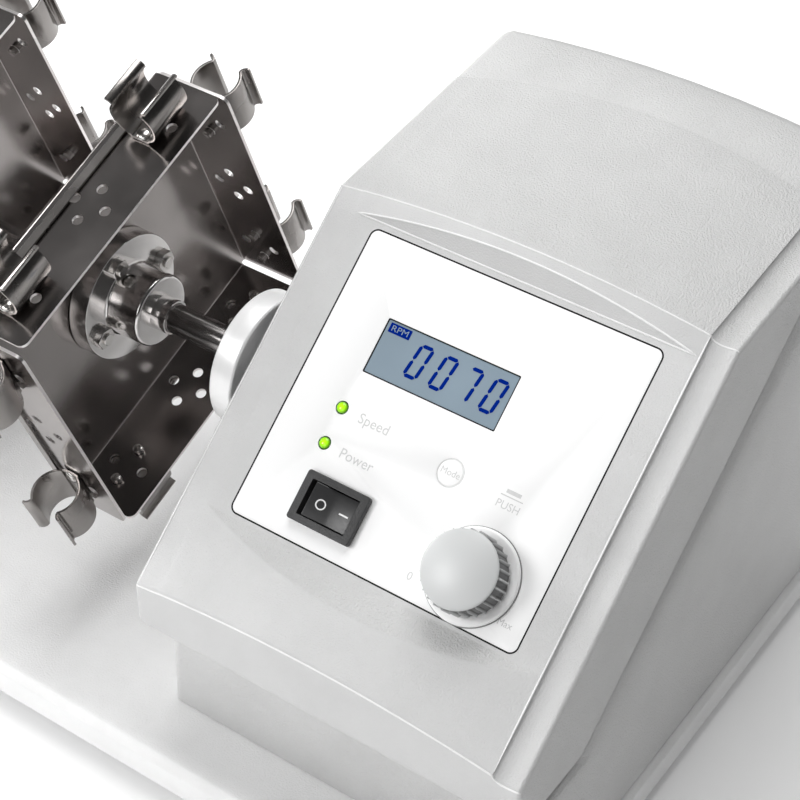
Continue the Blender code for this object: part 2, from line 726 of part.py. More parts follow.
def fluted_knob(place):
    """Knob with a fluted skirt, a smooth domed cap and a bored boss inside."""
    shape = bmesh.new()
    sides = KNOB_RIBS * 2
    radius = KNOB_RADIUS

    def ring(size, height, depth=0.0):
        spots = []
        for step in range(sides):
            angle = 2 * math.pi * step / sides
            reach = size - (depth if step % 2 else 0.0)
            spots.append(shape.verts.new((reach * math.cos(angle), reach * math.sin(angle),
                                          height)))
        return spots

    bottom = 2.0 * MM
    levels = [
        ring(3.3 * MM, bottom),
        ring(radius - 0.9 * MM, bottom),
        ring(radius, bottom + 0.5 * MM, 0.6 * MM),
        ring(radius, KNOB_TOP - 2.6 * MM, 0.6 * MM),
        ring(radius, KNOB_TOP - 2.0 * MM),
        ring(radius - 0.4 * MM, KNOB_TOP - 0.7 * MM),
        ring(radius - 1.6 * MM, KNOB_TOP),
    ]
    roof = ring(3.3 * MM, 9.8 * MM)
    for lower, upper in zip(levels, levels[1:]):
        for index in range(sides):
            after = (index + 1) % sides
            shape.faces.new((lower[index], lower[after], upper[after], upper[index]))
    for index in range(sides):
        after = (index + 1) % sides
        shape.faces.new((levels[0][after], levels[0][index], roof[index], roof[after]))
    shape.faces.new(levels[-1])
    shape.faces.new(reversed(roof))
    from_bmesh("knob", shape, "knob", PANEL, place, (0, 0, KNOB_REST_TURN))


def chassis():
    """Upright steel plate that carries the bearing housing and the gearmotor."""
    floor = BASE_TOP + GAP
    foot_y = (PANEL_CORNER.y + 14 * MM, PANEL_CORNER.y + 150 * MM)
    spots = [(foot_y[0], floor + 2.5 * MM), (foot_y[1], floor + 2.5 * MM),
             (foot_y[1], 108 * MM), (AXIS.y + 30 * MM, 132 * MM),
             *arc((AXIS.y, AXIS.z), 13.6 * MM, 60, 200, 7)]
    to_yz = Matrix.Translation((CHASSIS_X + CHASSIS_THICKNESS / 2, 0, 0)) @ Matrix(
        ((0, 0, 1, 0), (1, 0, 0, 0), (0, 1, 0, 0), (0, 0, 0, 1)))
    plate = outline("chassis_plate", [
        spots,
        arc((AXIS.y, AXIS.z), 11.2 * MM, 0, 340, 17),
        arc((MOTOR_AXIS.y, MOTOR_AXIS.z), 6.5 * MM, 0, 330, 11),
    ], CHASSIS_THICKNESS, to_yz, "steel")
    depth = foot_y[1] - foot_y[0]
    flange = box("chassis_flange", (18 * MM, depth, 2.5 * MM),
                 (CHASSIS_X + 9 * MM, (foot_y[0] + foot_y[1]) / 2, floor + 1.26 * MM),
                 "steel")
    boolean(plate, flange, "UNION")
    for angle in range(0, 360, 120):
        spot = gearbox_screw_spot(angle)
        hole = cylinder("gearbox_hole", 1.7 * MM, 12 * MM, (CHASSIS_X, *spot), "X", 8)
        boolean(plate, hole)


def gearbox_screw_spot(angle):
    """(y, z) of a gearbox screw, by its angle in degrees around the motor's axis."""
    reach = 13.5 * MM
    return (MOTOR_AXIS.y + reach * math.cos(math.radians(angle)),
            MOTOR_AXIS.z + reach * math.sin(math.radians(angle)))


def drive():
    """Gearmotor, pulleys, belt, bearing housing, bearings and spindle."""
    motor_spot = (0, MOTOR_AXIS.y, MOTOR_AXIS.z)
    right = CHASSIS_X + CHASSIS_THICKNESS + GAP
    gearbox = [(3.4 * MM, right), (18.5 * MM, right), (18.5 * MM, right + 24 * MM),
               (3.4 * MM, right + 24 * MM)]
    case = turned("gearbox", list(reversed(gearbox)), motor_spot, "X", 20, "steel")
    for angle in range(0, 360, 120):
        spot = gearbox_screw_spot(angle)
        hole = cylinder("thread", 1.7 * MM, 16 * MM, (right, *spot), "X", 8)
        boolean(case, hole)
    start = right + 24 * MM + GAP
    motor = [(0, start + 48 * MM), (14 * MM, start + 48 * MM), (17.5 * MM, start + 46 * MM),
             (17.5 * MM, start), (0, start)]
    turned("drive_motor", motor, motor_spot, "X", 20, "steel")
    output = [(0, right + 22 * MM), (3 * MM, right + 22 * MM), (3 * MM, PULLEY_LEFT),
              (0, PULLEY_LEFT)]
    turned("motor_shaft", output, motor_spot, "X", 12, "steel")
    pulley("motor_pulley", MOTOR_PULLEY_RADIUS, 3.3 * MM, motor_spot)
    pulley("spindle_pulley", SPINDLE_PULLEY_RADIUS, SPINDLE_RADIUS + GAP,
           (0, AXIS.y, AXIS.z))
    belt()
    axis_spot = (0, AXIS.y, AXIS.z)
    left = CHASSIS_X - 1.2 * MM
    end = 113.5 * MM
    flange_end = CHASSIS_X - GAP
    bore = 9.8 * MM
    neck = 8.4 * MM
    housing = [(bore, left), (bore, left + 6 * MM), (neck, left + 6 * MM),
               (neck, end - 6 * MM), (bore, end - 6 * MM), (bore, end), (10.9 * MM, end),
               (10.9 * MM, flange_end), (12.8 * MM, flange_end), (12.8 * MM, left)]
    turned("bearing_housing", housing, axis_spot, "X", 20, "aluminium")
    for number, first in enumerate((left + 0.6 * MM, end - 5.6 * MM), 1):
        ring = [(9.5 * MM, first), (9.5 * MM, first + 5 * MM),
                (SPINDLE_RADIUS + GAP, first + 5 * MM), (SPINDLE_RADIUS + GAP, first)]
        turned(f"spindle_bearing_{number}", ring, axis_spot, "X", 16, "steel")
    spindle = [(0, end + 1.5 * MM), (SPINDLE_RADIUS, end + 1.5 * MM),
               (SPINDLE_RADIUS, COLLAR_LEFT + 4.2 * MM), (0, COLLAR_LEFT + 4.2 * MM)]
    turned("spindle", spindle, axis_spot, "X", 16, "steel")


def pulley(title, radius, bore, spot):
    """Flanged belt pulley."""
    flange = radius + 1.2 * MM
    left = PULLEY_LEFT
    right = PULLEY_LEFT + PULLEY_WIDTH
    profile = [(bore, left), (flange, left), (flange, left + 1 * MM), (radius, left + 1 * MM),
               (radius, right - 1 * MM), (flange, right - 1 * MM), (flange, right),
               (bore, right)]
    turned(title, profile, spot, "X", 16, "aluminium")


def belt_loop(extra):
    """Outline in (y, z) of the belt around both pulleys, grown by an extra radius."""
    near = Vector((AXIS.y, AXIS.z))
    far = Vector((MOTOR_AXIS.y, MOTOR_AXIS.z))
    reach = far - near
    big = SPINDLE_PULLEY_RADIUS + extra
    small = MOTOR_PULLEY_RADIUS + extra
    heading = math.degrees(math.atan2(reach.y, reach.x))
    lean = math.degrees(math.acos((big - small) / reach.length))
    first = arc(near, big / math.cos(math.pi / 20), heading + lean, heading + 360 - lean, 9)
    second = arc(far, small / math.cos(math.pi / 20), heading - lean, heading + lean, 8)
    return first + second


def belt():
    """Flat toothed belt, drawn as a plain band."""
    middle = PULLEY_LEFT + PULLEY_WIDTH / 2
    to_yz = Matrix.Translation((middle, 0, 0)) @ Matrix(
        ((0, 0, 1, 0), (1, 0, 0, 0), (0, 1, 0, 0), (0, 0, 0, 1)))
    outline("drive_belt", [belt_loop(GAP + BELT_THICKNESS), belt_loop(GAP)], 6 * MM, to_yz,
            "rubber")


def drive_collar():
    """Turned aluminium ring that clamps the rotor's shaft to the spindle."""
    bore = SPINDLE_RADIUS + GAP
    web = COLLAR_LEFT + 2.6 * MM
    profile = [(bore, COLLAR_LEFT), (bore, COLLAR_RIGHT), (9.5 * MM, COLLAR_RIGHT),
               (9.5 * MM, web), (20.2 * MM, web), (20.2 * MM, COLLAR_RIGHT),
               (20.9 * MM, COLLAR_RIGHT), (21.3 * MM, COLLAR_RIGHT - 0.4 * MM),
               (21.3 * MM, COLLAR_LEFT + 0.5 * MM), (20.8 * MM, COLLAR_LEFT)]
    turned("drive_collar", profile, (0, AXIS.y, AXIS.z), "X", 28, "aluminium")


def rotor_shaft():
    """Long shaft through the hubs, with its left journal."""
    right = COLLAR_LEFT + 3.8 * MM
    journal = POST_X + POST_WIDTH / 2 - 2.2 * MM
    left = POST_X - 1 * MM
    profile = [(0, right), (SHAFT_RADIUS, right), (SHAFT_RADIUS, journal), (4 * MM, journal),
               (4 * MM, left), (0, left)]
    turned("rotor_shaft", profile, (0, AXIS.y, AXIS.z), "X", 16, "steel")


def flange_frame(side):
    """Matrix from a flange's own frame to the tray's, for one of its four sides.

    In a flange's frame X is the rotor's X, Y runs along the flange, Z points outwards.
    """
    return Matrix.Rotation(side * math.pi / 2, 4, "X")


def tray(number, plate_x):
    """Square steel tray: an end plate with four folded flanges full of clip holes."""
    shape = bmesh.new()
    add_box(shape, (TRAY_SHEET, 2 * TRAY_HALF, 2 * TRAY_HALF), (-TRAY_SHEET / 2, 0, 0))
    plate = from_bmesh(f"tray_{number}", shape, "steel", ROTOR, (plate_x, 0, 0))
    run = 2 * (TRAY_HALF - TRAY_CORNER_GAP)
    for side in range(4):
        shape = bmesh.new()
        add_box(shape, (TRAY_DEPTH + TRAY_SHEET / 2, run, TRAY_SHEET),
                (TRAY_DEPTH / 2 - TRAY_SHEET / 4, 0, TRAY_HALF - TRAY_SHEET / 2))
        bmesh.ops.transform(shape, matrix=flange_frame(side), verts=shape.verts)
        flange = from_bmesh("flange", shape, None, ROTOR, (plate_x, 0, 0))
        boolean(plate, flange, "UNION")
    holes = bmesh.new()
    for side in range(4):
        for station in (*CLIP_STATIONS, 0):
            for across, along in diamond():
                spot = flange_frame(side) @ Vector((CLIP_X + across, station + along,
                                                    TRAY_HALF))
                axis = "Z" if side % 2 == 0 else "Y"
                add_cylinder(holes, 1.75 * MM, 4 * MM, spot, axis, 6)
    add_cylinder(holes, SHAFT_RADIUS + 1.2 * MM, 6 * MM, (0, 0, 0), "X", 12)
    for angle in range(0, 360, 90):
        add_cylinder(holes, 2.2 * MM, 6 * MM, bolt_spot(angle, 0), "X", 8)
    cutter = from_bmesh("tray_holes", holes, None, ROTOR, (plate_x, 0, 0))
    boolean(plate, cutter)


def diamond():
    """Offsets (across, along) of the four holes at a clip's station."""
    return ((0, CLIP_HOLE_OFFSET), (0, -CLIP_HOLE_OFFSET), (SPARE_HOLE_OFFSET, 0),
            (-SPARE_HOLE_OFFSET, 0))


def bolt_spot(angle, x):
    """A hub bolt's place on its circle in the tray's frame."""
    reach = HUB_BOLT_REACH
    return (x, reach * math.cos(math.radians(angle)), reach * math.sin(math.radians(angle)))


def tube_clips(number, plate_x):
    """A twin spring clip for each of a tray's four flanges."""
    for side, name in enumerate(("top", "front", "bottom", "back")):
        turn = (side * math.pi / 2, 0, 0)
        twin = twin_clip(f"clips_{number}_{name}", plate_x, turn)
        seat = Matrix.Translation((CLIP_X, 0, TRAY_HALF + GAP))
        twin.data.transform(seat)


def twin_clip(title, plate_x, turn):
    """Two tube clips on one stamped strip, made flat on its own XY plane."""
    rail_x = -7.4 * MM
    rail = bmesh.new()
    run = CLIP_STATIONS[1] - CLIP_STATIONS[0] + 6 * MM
    lift = CLIP_THICKNESS / 2
    add_box(rail, (3 * MM, run, CLIP_THICKNESS - 0.1 * MM), (rail_x, 0, lift))
    strip = from_bmesh(title, rail, "steel", ROTOR, (plate_x, 0, 0), turn)
    for station in CLIP_STATIONS:
        tongue = box("tongue", (6 * MM, 6 * MM, CLIP_THICKNESS - 0.16 * MM),
                     (rail_x + 3.3 * MM, station, lift), "steel", ROTOR, (plate_x, 0, 0))
        tongue.rotation_euler = turn
        boolean(strip, tongue, "UNION")
    for station in CLIP_STATIONS:
        shape = bmesh.new()
        add_clip(shape, Matrix.Translation((0, station, 0)))
        clip = from_bmesh("clip", shape, "steel", ROTOR, (plate_x, 0, 0), turn)
        boolean(strip, clip, "UNION")
    holes = bmesh.new()
    for station in CLIP_STATIONS:
        for along in (-CLIP_HOLE_OFFSET, CLIP_HOLE_OFFSET):
            add_cylinder(holes, 1.5 * MM, 4 * MM, (0, station + along, 0), "Z", 6)
    boolean(strip, from_bmesh("clip_holes", holes, None, ROTOR, (plate_x, 0, 0), turn))
    return strip


def clip_half_profile():
    """Right half of a clip's section: base, prong round the tube, flared lip."""
    centre = (0, CLIP_RADIUS + CLIP_THICKNESS)
    points = [(0, CLIP_THICKNESS / 2), (5 * MM, CLIP_THICKNESS / 2)]
    points += arc(centre, CLIP_RADIUS + CLIP_THICKNESS / 2, -35, 48, 3)
    last = points[-1]
    points.append((last[0] + 1.0 * MM, last[1] + 1.6 * MM))
    points.append((last[0] + 2.2 * MM, last[1] + 2.0 * MM))
    return points


def add_clip(shape, place):
    """Add one clip: its centre line given thickness and width, with two screw holes."""
    half = clip_half_profile()
    line = [(-x, z) for x, z in reversed(half[1:])] + half
    inner = []
    outer = []
    for index, (x, z) in enumerate(line):
        before = Vector(line[max(index - 1, 0)])
        after = Vector(line[min(index + 1, len(line) - 1)])
        heading = (after - before).normalized()
        normal = Vector((-heading.y, heading.x)) * CLIP_THICKNESS / 2
        inner.append((x + normal.x, z + normal.y))
        outer.append((x - normal.x, z - normal.y))
    section = inner + list(reversed(outer))
    rings = []
    for side in (-CLIP_HALF_LENGTH, CLIP_HALF_LENGTH):
        rings.append([shape.verts.new(place @ Vector((x, side, z))) for x, z in section])
    count = len(section)
    for index in range(count):
        after = (index + 1) % count
        shape.faces.new((rings[0][index], rings[0][after], rings[1][after], rings[1][index]))
    for strip in range(len(line) - 1):
        mirror = count - 1 - strip
        for ring in rings:
            shape.faces.new((ring[strip], ring[strip + 1], ring[mirror - 1], ring[mirror]))


def hub(number, plate_x):
    """Flanged hub on the shaft, with four bolt holes and a set screw hole."""
    bore = SHAFT_RADIUS + GAP
    back = GAP
    profile = [(bore, back), (20.7 * MM, back), (20.7 * MM, 7 * MM), (12.4 * MM, 7 * MM),
               (11.6 * MM, 7.8 * MM), (11.6 * MM, HUB_FACE - 0.8 * MM),
               (10.8 * MM, HUB_FACE), (bore, HUB_FACE)]
    piece = turned(f"hub_{number}", list(reversed(profile)), (0, 0, 0), "X", 18, "steel",
                   ROTOR, (plate_x, 0, 0))
    holes = bmesh.new()
    for angle in range(0, 360, 90):
        add_cylinder(holes, 2.2 * MM, 30 * MM, bolt_spot(angle, 0), "X", 6)
    add_cylinder(holes, 2.3 * MM, 10 * MM, (SET_SCREW_X, 0, 11 * MM), "Z", 6)
    boolean(piece, from_bmesh("hub_holes", holes, None, ROTOR, (plate_x, 0, 0)))


def post_outline(grow):
    """Side outline of the post in (y, z): straight legs under a round head."""
    head = 21 * MM + grow
    foot = 32 * MM + grow
    floor = BASE_TOP + GAP - min(grow, 0)
    points = [(AXIS.y + foot, floor), *arc((AXIS.y, AXIS.z), head, 8, 172, 10),
              (AXIS.y - foot, floor)]
    return points


def left_post():
    """Support post: a shell open to the left, its cover and its bearing."""
    right_face = POST_X + POST_WIDTH / 2
    to_yz = Matrix(((0, 0, 1, 0), (1, 0, 0, 0), (0, 1, 0, 0), (0, 0, 0, 1)))
    middle = Matrix.Translation((POST_X, 0, 0)) @ to_yz
    post = outline("support_post", [post_outline(0)], POST_WIDTH, middle, "housing")
    round_edges(post, 1.5 * MM, 1, 60)
    hollow = outline("post_hollow", [post_outline(-WALL)], POST_WIDTH,
                     Matrix.Translation((-WALL - 0.5 * MM, 0, 0)) @ middle)
    boolean(post, hollow)
    boss = cylinder("post_boss", 14 * MM, 9 * MM,
                    (right_face - 6 * MM, AXIS.y, AXIS.z), "X", 20, "housing")
    boolean(post, boss, "UNION")
    seat = cylinder("bearing_seat", 11.3 * MM, 16 * MM,
                    (right_face - 11 * MM, AXIS.y, AXIS.z), "X", 20)
    boolean(post, seat)
    boolean(post, cylinder("post_bore", 6 * MM, 12 * MM, (right_face, AXIS.y, AXIS.z), "X", 16))
    ring_left = right_face - 10.4 * MM
    ring = [(4.3 * MM, ring_left), (4.3 * MM, ring_left + 7 * MM), (11 * MM, ring_left + 7 * MM),
            (11 * MM, ring_left)]
    turned("post_bearing", ring, (0, AXIS.y, AXIS.z), "X", 16, "steel")
    cover_x = POST_X - POST_WIDTH / 2 + 1.2 * MM
    cover = outline("post_cover", [post_outline(-WALL - 0.4 * MM)], 2 * MM,
                    Matrix.Translation((cover_x, 0, 0)) @ to_yz, "housing")
    for y, z in POST_SCREW_SPOTS:
        boolean(cover, cylinder("cover_hole", 1.7 * MM, 8 * MM, (cover_x, y, z), "X", 8))


def power_supply():
    """Enclosed switching power supply on the platform."""
    shape = bmesh.new()
    add_box(shape, (88 * MM, 62 * MM, 30 * MM), (162 * MM, -9 * MM, BASE_TOP + 16 * MM))
    case = from_bmesh("power_supply", shape, "steel")
    round_edges(case, 1.5 * MM, 1)


def mains_inlet():
    """Appliance inlet with its flange, socket, pins and the fuse drawer above it."""
    rear = REAR_WALL_Y + PANEL_CORNER.y
    flange = box("mains_inlet", (34 * MM, 1.6 * MM, 47 * MM),
                 (INLET_X, rear + 0.8 * MM + GAP, INLET_Z), "black")
    body = box("inlet_body", (28 * MM, 20 * MM, 41 * MM), (INLET_X, rear - 8.6 * MM, INLET_Z),
               "black")
    boolean(flange, body, "UNION")
    socket = box("inlet_socket", (24 * MM, 20 * MM, 16.5 * MM),
                 (INLET_X, rear - 4 * MM, INLET_Z - 9.5 * MM))
    boolean(flange, socket)
    slot = box("drawer_slot", (24 * MM, 20 * MM, 12 * MM),
               (INLET_X, rear - 4 * MM, INLET_Z + 11 * MM))
    boolean(flange, slot)
    for across, up in ((-7 * MM, -2 * MM), (7 * MM, -2 * MM), (0, 3 * MM)):
        pin = box("pin", (2 * MM, 9 * MM, 4 * MM),
                  (INLET_X + across, rear - 9.6 * MM, INLET_Z - 9.5 * MM + up), "steel")
        boolean(flange, pin, "UNION")
    drawer = box("fuse_drawer", (23.4 * MM, 15 * MM, 11.4 * MM), (0, 0, 0), "black", None,
                 (INLET_X, rear - 6.2 * MM, INLET_Z + 11 * MM))
    notch = box("drawer_notch", (8 * MM, 3 * MM, 3 * MM),
                (INLET_X, rear + 1.2 * MM, INLET_Z + 16.4 * MM))
    boolean(drawer, notch)


def build():
    """Make every piece of the rotator."""
    front_cover()
    rear_cover()
    base_platform()
    bottom_plate()
    feet()
    control_panel()
    display()
    lamps()
    rocker_switch()
    mode_button()
    main_board()
    knob_group()
    chassis()
    drive()
    drive_collar()
    rotor_shaft()
    for number, plate_x in enumerate(TRAY_PLATES_X, 1):
        tray(number, plate_x)
        tube_clips(number, plate_x)
        hub(number, plate_x)
    left_post()
    power_supply()
    mains_inlet()


build()
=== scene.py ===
"""Looks of a rotisserie tube rotator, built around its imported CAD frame.

The frame's own nodes give every place and size. This script remakes the visible ones as
finer meshes, and adds the printed marks, the display's segments and the fasteners.
Lengths are in metres and in the frame's axes: +X along the rotor towards the drive head,
-Y towards the operator, +Z up.
"""
import json
import math

import bmesh
import bpy
from mathutils import Matrix, Vector


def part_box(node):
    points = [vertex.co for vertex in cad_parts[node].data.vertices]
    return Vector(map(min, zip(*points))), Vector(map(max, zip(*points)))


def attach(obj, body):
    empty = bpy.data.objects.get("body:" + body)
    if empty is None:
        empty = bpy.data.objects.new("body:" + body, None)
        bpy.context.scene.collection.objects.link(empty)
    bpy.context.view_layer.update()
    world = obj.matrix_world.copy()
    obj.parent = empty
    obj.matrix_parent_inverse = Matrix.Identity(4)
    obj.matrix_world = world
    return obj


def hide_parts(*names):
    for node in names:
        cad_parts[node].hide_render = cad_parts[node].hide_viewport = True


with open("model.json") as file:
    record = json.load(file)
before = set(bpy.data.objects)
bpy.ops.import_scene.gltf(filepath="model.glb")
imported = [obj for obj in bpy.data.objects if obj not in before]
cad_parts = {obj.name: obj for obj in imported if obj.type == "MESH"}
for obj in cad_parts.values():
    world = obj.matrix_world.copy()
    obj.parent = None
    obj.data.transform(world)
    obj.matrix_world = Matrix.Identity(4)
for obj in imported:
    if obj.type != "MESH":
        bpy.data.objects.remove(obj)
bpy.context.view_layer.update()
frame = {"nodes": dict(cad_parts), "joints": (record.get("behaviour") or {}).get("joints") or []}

MM = 0.001


def mm(*numbers):
    """A tuple of lengths given in millimetres."""
    return tuple(number * MM for number in numbers)


JOINTS = {item["name"]: item for item in frame["joints"]}

# The panel's own frame: u to the right, v up the slope, w out of it
KNOB_CENTRE = mm(75, 13.6)
PANEL_NORMAL = Vector(JOINTS["knob_turn"]["axis"])
TILT = math.atan2(-PANEL_NORMAL.y, PANEL_NORMAL.z)
PANEL = (Matrix.Translation(JOINTS["knob_turn"]["pos_m"]) @ Matrix.Rotation(TILT, 4, "X")
         @ Matrix.Translation((-KNOB_CENTRE[0], -KNOB_CENTRE[1], 0)))
CORNER = PANEL.translation.copy()
PANEL_SIZE = mm(95.4, 90.2)
PANEL_MIDDLE = (PANEL_SIZE[0] / 2, PANEL_SIZE[1] / 2)
PANEL_RADIUS = 2.2 * MM
PANEL_THICKNESS = 1.2 * MM
GAP = 0.3 * MM
WALL = 2.5 * MM

# The rotor's own frame, turned as it stands at rest, and its repeated parts
AXIS = Vector(JOINTS["rotor_spin"]["pos_m"])
REST_TURN = math.radians(20)
ROTOR = Matrix.Translation(AXIS) @ Matrix.Rotation(REST_TURN, 4, "X")
SHEET = 1 * MM
TRAY_PLACES = [(number, ROTOR @ Matrix.Translation((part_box(f"tray_{number}")[0].x + SHEET, 0, 0)))
               for number in (1, 2, 3)]
TRAY_HALF = 50.5 * MM
TRAY_DEPTH = 24.5 * MM
FLANGE_HALF_RUN = 48.1 * MM
CLIP_X = 11.5 * MM
CLIP_STATIONS = mm(-33, 33)
CLIP_HOLE_OFFSET = 6 * MM
SPARE_HOLE_OFFSET = 5.7 * MM
CLIP_RADIUS = 7.2 * MM
CLIP_SHEET = 0.8 * MM
CLIP_HALF_LENGTH = 8 * MM
HUB_BOLT_REACH = 15.8 * MM
HUB_FACE = 19.2 * MM
SET_SCREW_X = 10.6 * MM
SHAFT_RADIUS = 4.7 * MM
SIDES = ("top", "front", "bottom", "back")

# The sloped front: a crowned face with a flat pocket around the panel
CENTRE_U = 48.2 * MM
HALF_WIDTH = 65.6 * MM
SIDE_ROUNDING = 1.4 * MM
ROUNDING_STEPS = 8
CROWN = 3 * MM
HALF_CHORD = 55.75 * MM
COVE_DEPTH = 1.1 * MM
LEFT_COVE_DEPTH = 0.1 * COVE_DEPTH
# Below 1, the cove is deepest near the crease and runs out slowly
COVE_SKEW = 0.55
CREASE_WIDTH = 0.9 * MM
POCKET_HIGH = 92.6 * MM
POCKET_HIGH_RUN = 1.9
POCKET_LOW = -1.5 * MM
POCKET_LOW_RUN = 3.25
POCKET_BLEND = 0.3 * MM
TOP_EDGE_Y = 78.2 * MM
TOP_SLOPE = math.radians(5)
FRONT_WALL_Y = -24 * MM
CHIN_Z = -38 * MM
SEAM_DEPTH = 34 * MM
SLOPE_NORMAL = (-math.sin(TILT), math.cos(TILT))
TOP_NORMAL = (-math.sin(TOP_SLOPE), math.cos(TOP_SLOPE))

# Controls, in (u, v)
LCD_CENTRE = mm(39.4, 60.0)
LCD_SIZE = mm(44.2, 17.0)
ROCKER_CENTRE = mm(28.16, 12.94)
ROCKER_BEZEL = mm(21, 15)
ROCKER_HOLE = mm(19.8, 13.4)
ROCKER_WELL = mm(16.2, 10.8)
ROCKER_BODY = mm(19.2, 12.8)
ROCKER_LEAN = math.radians(9)
MODE_CENTRE = mm(55.5, 36.3)
MODE_RADIUS = 4.2 * MM
LAMP_CENTRES = {"led_speed": mm(16.9, 39.8), "led_power": mm(17, 28.7)}
LAMP_RADIUS = 1.8 * MM


# ---------------------------------------------------------------- materials

# The middle of a noise's range, where nearly all its values lie
NOISE_LOW, NOISE_HIGH = 0.3, 0.7


class Look:
    """A Principled material and short ways to add procedural detail to it.

    Its colour is one number for a grey, or red, green and blue.
    """

    def __init__(self, title, colour, roughness, metallic=0.0, **sockets):
        self.material = bpy.data.materials.new(title)
        self.material.use_nodes = True
        self.tree = self.material.node_tree
        self.shader = self.tree.nodes["Principled BSDF"]
        self.colour = colour if isinstance(colour, tuple) else (colour,) * 3
        self.roughness = roughness
        self.height = None
        self.shader.inputs["Base Color"].default_value = (*self.colour, 1)
        self.shader.inputs["Roughness"].default_value = roughness
        self.shader.inputs["Metallic"].default_value = metallic
        for name, value in sockets.items():
            self.shader.inputs[name.replace("_", " ")].default_value = value
        self.place = self.add("ShaderNodeTexCoord").outputs["Object"]

    def add(self, kind, **values):
        """A new node, with its settings and unlinked inputs set by name."""
        node = self.tree.nodes.new(kind)
        for name, value in values.items():
            if hasattr(node, name):
                setattr(node, name, value)
            else:
                node.inputs[name].default_value = value
        return node

    def join(self, source, target):
        """Link an output to an input."""
        self.tree.links.new(source, target)

    def noise(self, scale, detail=2.0, place=None, stretch=None):
        """Noise over the object, optionally stretched along the axes."""
        source = place or self.place
        if stretch:
            mapping = self.add("ShaderNodeMapping")
            mapping.inputs["Scale"].default_value = stretch
            self.join(source, mapping.inputs["Vector"])
            source = mapping.outputs["Vector"]
        node = self.add("ShaderNodeTexNoise", Scale=scale, Detail=detail)
        self.join(source, node.inputs["Vector"])
        return node.outputs["Fac"]

    def span(self, value, first, last, low=0.0, high=1.0):
        """A value's range from first to last, stretched to run from low to high."""
        node = self.add("ShaderNodeMapRange")
        for name, number in (("From Min", first), ("From Max", last),
                             ("To Min", low), ("To Max", high)):
            node.inputs[name].default_value = number
        self.join(value, node.inputs["Value"])
        return node.outputs["Result"]

    def ramp(self, value, *stops):
        """A colour ramp over a value; each stop is (position, colour)."""
        node = self.add("ShaderNodeValToRGB")
        elements = node.color_ramp.elements
        elements[0].position, elements[1].position = stops[0][0], stops[-1][0]
        elements[0].color, elements[1].color = (*stops[0][1], 1), (*stops[-1][1], 1)
        for position, colour in stops[1:-1]:
            elements.new(position).color = (*colour, 1)
        self.join(value, node.inputs["Fac"])
        self.join(node.outputs["Color"], self.shader.inputs["Base Color"])
        return node.outputs["Color"]

    def vector_math(self, operation, source, other=None):
        """One vector operation on a vector and an optional constant."""
        node = self.add("ShaderNodeVectorMath", operation=operation)
        if other is not None:
            node.inputs[1].default_value = other
        self.join(source, node.inputs[0])
        # Operations that give a number and those that give a vector use different outputs
        return next(output for output in node.outputs if output.enabled)

    def vary_colour(self, value, spread):
        """The base colour runs darker and lighter by a share of itself."""
        dark = [part * (1 - spread) for part in self.colour]
        light = [min(1.0, part * (1 + spread)) for part in self.colour]
        self.ramp(value, (NOISE_LOW, dark), (NOISE_HIGH, light))

    def vary_roughness(self, value, spread):
        """The roughness runs up and down by a share of itself."""
        result = self.span(value, NOISE_LOW, NOISE_HIGH,
                           self.roughness * (1 - spread), self.roughness * (1 + spread))
        self.join(result, self.shader.inputs["Roughness"])

    def bump(self, value, distance, strength=1.0):
        """Relief of a height in metres; a second call adds to the first."""
        node = self.add("ShaderNodeBump", Strength=strength, Distance=distance)
        self.join(value, node.inputs["Height"])
        if self.height:
            self.join(self.height, node.inputs["Normal"])
        self.height = node.outputs["Normal"]
        self.join(self.height, self.shader.inputs["Normal"])

    def radius_from(self, centre):
        """Coordinates (x, distance from a line along X through a point, 0)."""
        parts = self.add("ShaderNodeSeparateXYZ")
        self.join(self.vector_math("SUBTRACT", self.place, centre), parts.inputs["Vector"])
        flat = self.add("ShaderNodeCombineXYZ")
        self.join(parts.outputs["Y"], flat.inputs["Y"])
        self.join(parts.outputs["Z"], flat.inputs["Z"])
        joined = self.add("ShaderNodeCombineXYZ")
        self.join(parts.outputs["X"], joined.inputs["X"])
        self.join(self.vector_math("LENGTH", flat.outputs["Vector"]), joined.inputs["Y"])
        return joined.outputs["Vector"]


def moulded(title, colour, roughness, cell, depth, spread=0.03):
    """Moulded plastic with a fine pebble grain."""
    look = Look(title, colour, roughness)
    look.vary_colour(look.noise(60, 3), spread)
    look.vary_roughness(look.noise(1 / cell, 2), 0.12)
    look.bump(look.noise(1 / cell, 2.5), depth)
    return look.material


def printed(title, colour, roughness=0.5, gloss=0.15):
    """Printing ink: nearly flat, with a faint unevenness."""
    look = Look(title, colour, roughness, Specular_IOR_Level=gloss)
    look.vary_colour(look.noise(900, 2), 0.04)
    return look.material


def sheet_steel(title, colour, roughness, spread):
    """Polished rolled sheet: fine lines along the rotor and soft roughness clouds."""
    look = Look(title, colour, roughness, 1.0)
    look.vary_colour(look.noise(25, 2), spread)
    look.vary_roughness(look.noise(45, 3), 0.3)
    look.bump(look.noise(900, 2, stretch=(0.06, 1, 1)), 0.000004, 0.5)
    return look.material


def lathed(title, colour, roughness, line, depth, anisotropic=0.0, metallic=1.0):
    """Turned metal: rings of tool marks about the rotor's axis."""
    look = Look(title, colour, roughness, metallic, Anisotropic=anisotropic)
    rings = look.radius_from(AXIS)
    marks = look.noise(1 / line, 2, rings)
    look.vary_roughness(marks, 0.06)
    look.vary_colour(look.noise(0.4 / line, 2, rings), 0.02)
    look.bump(marks, depth)
    return look.material


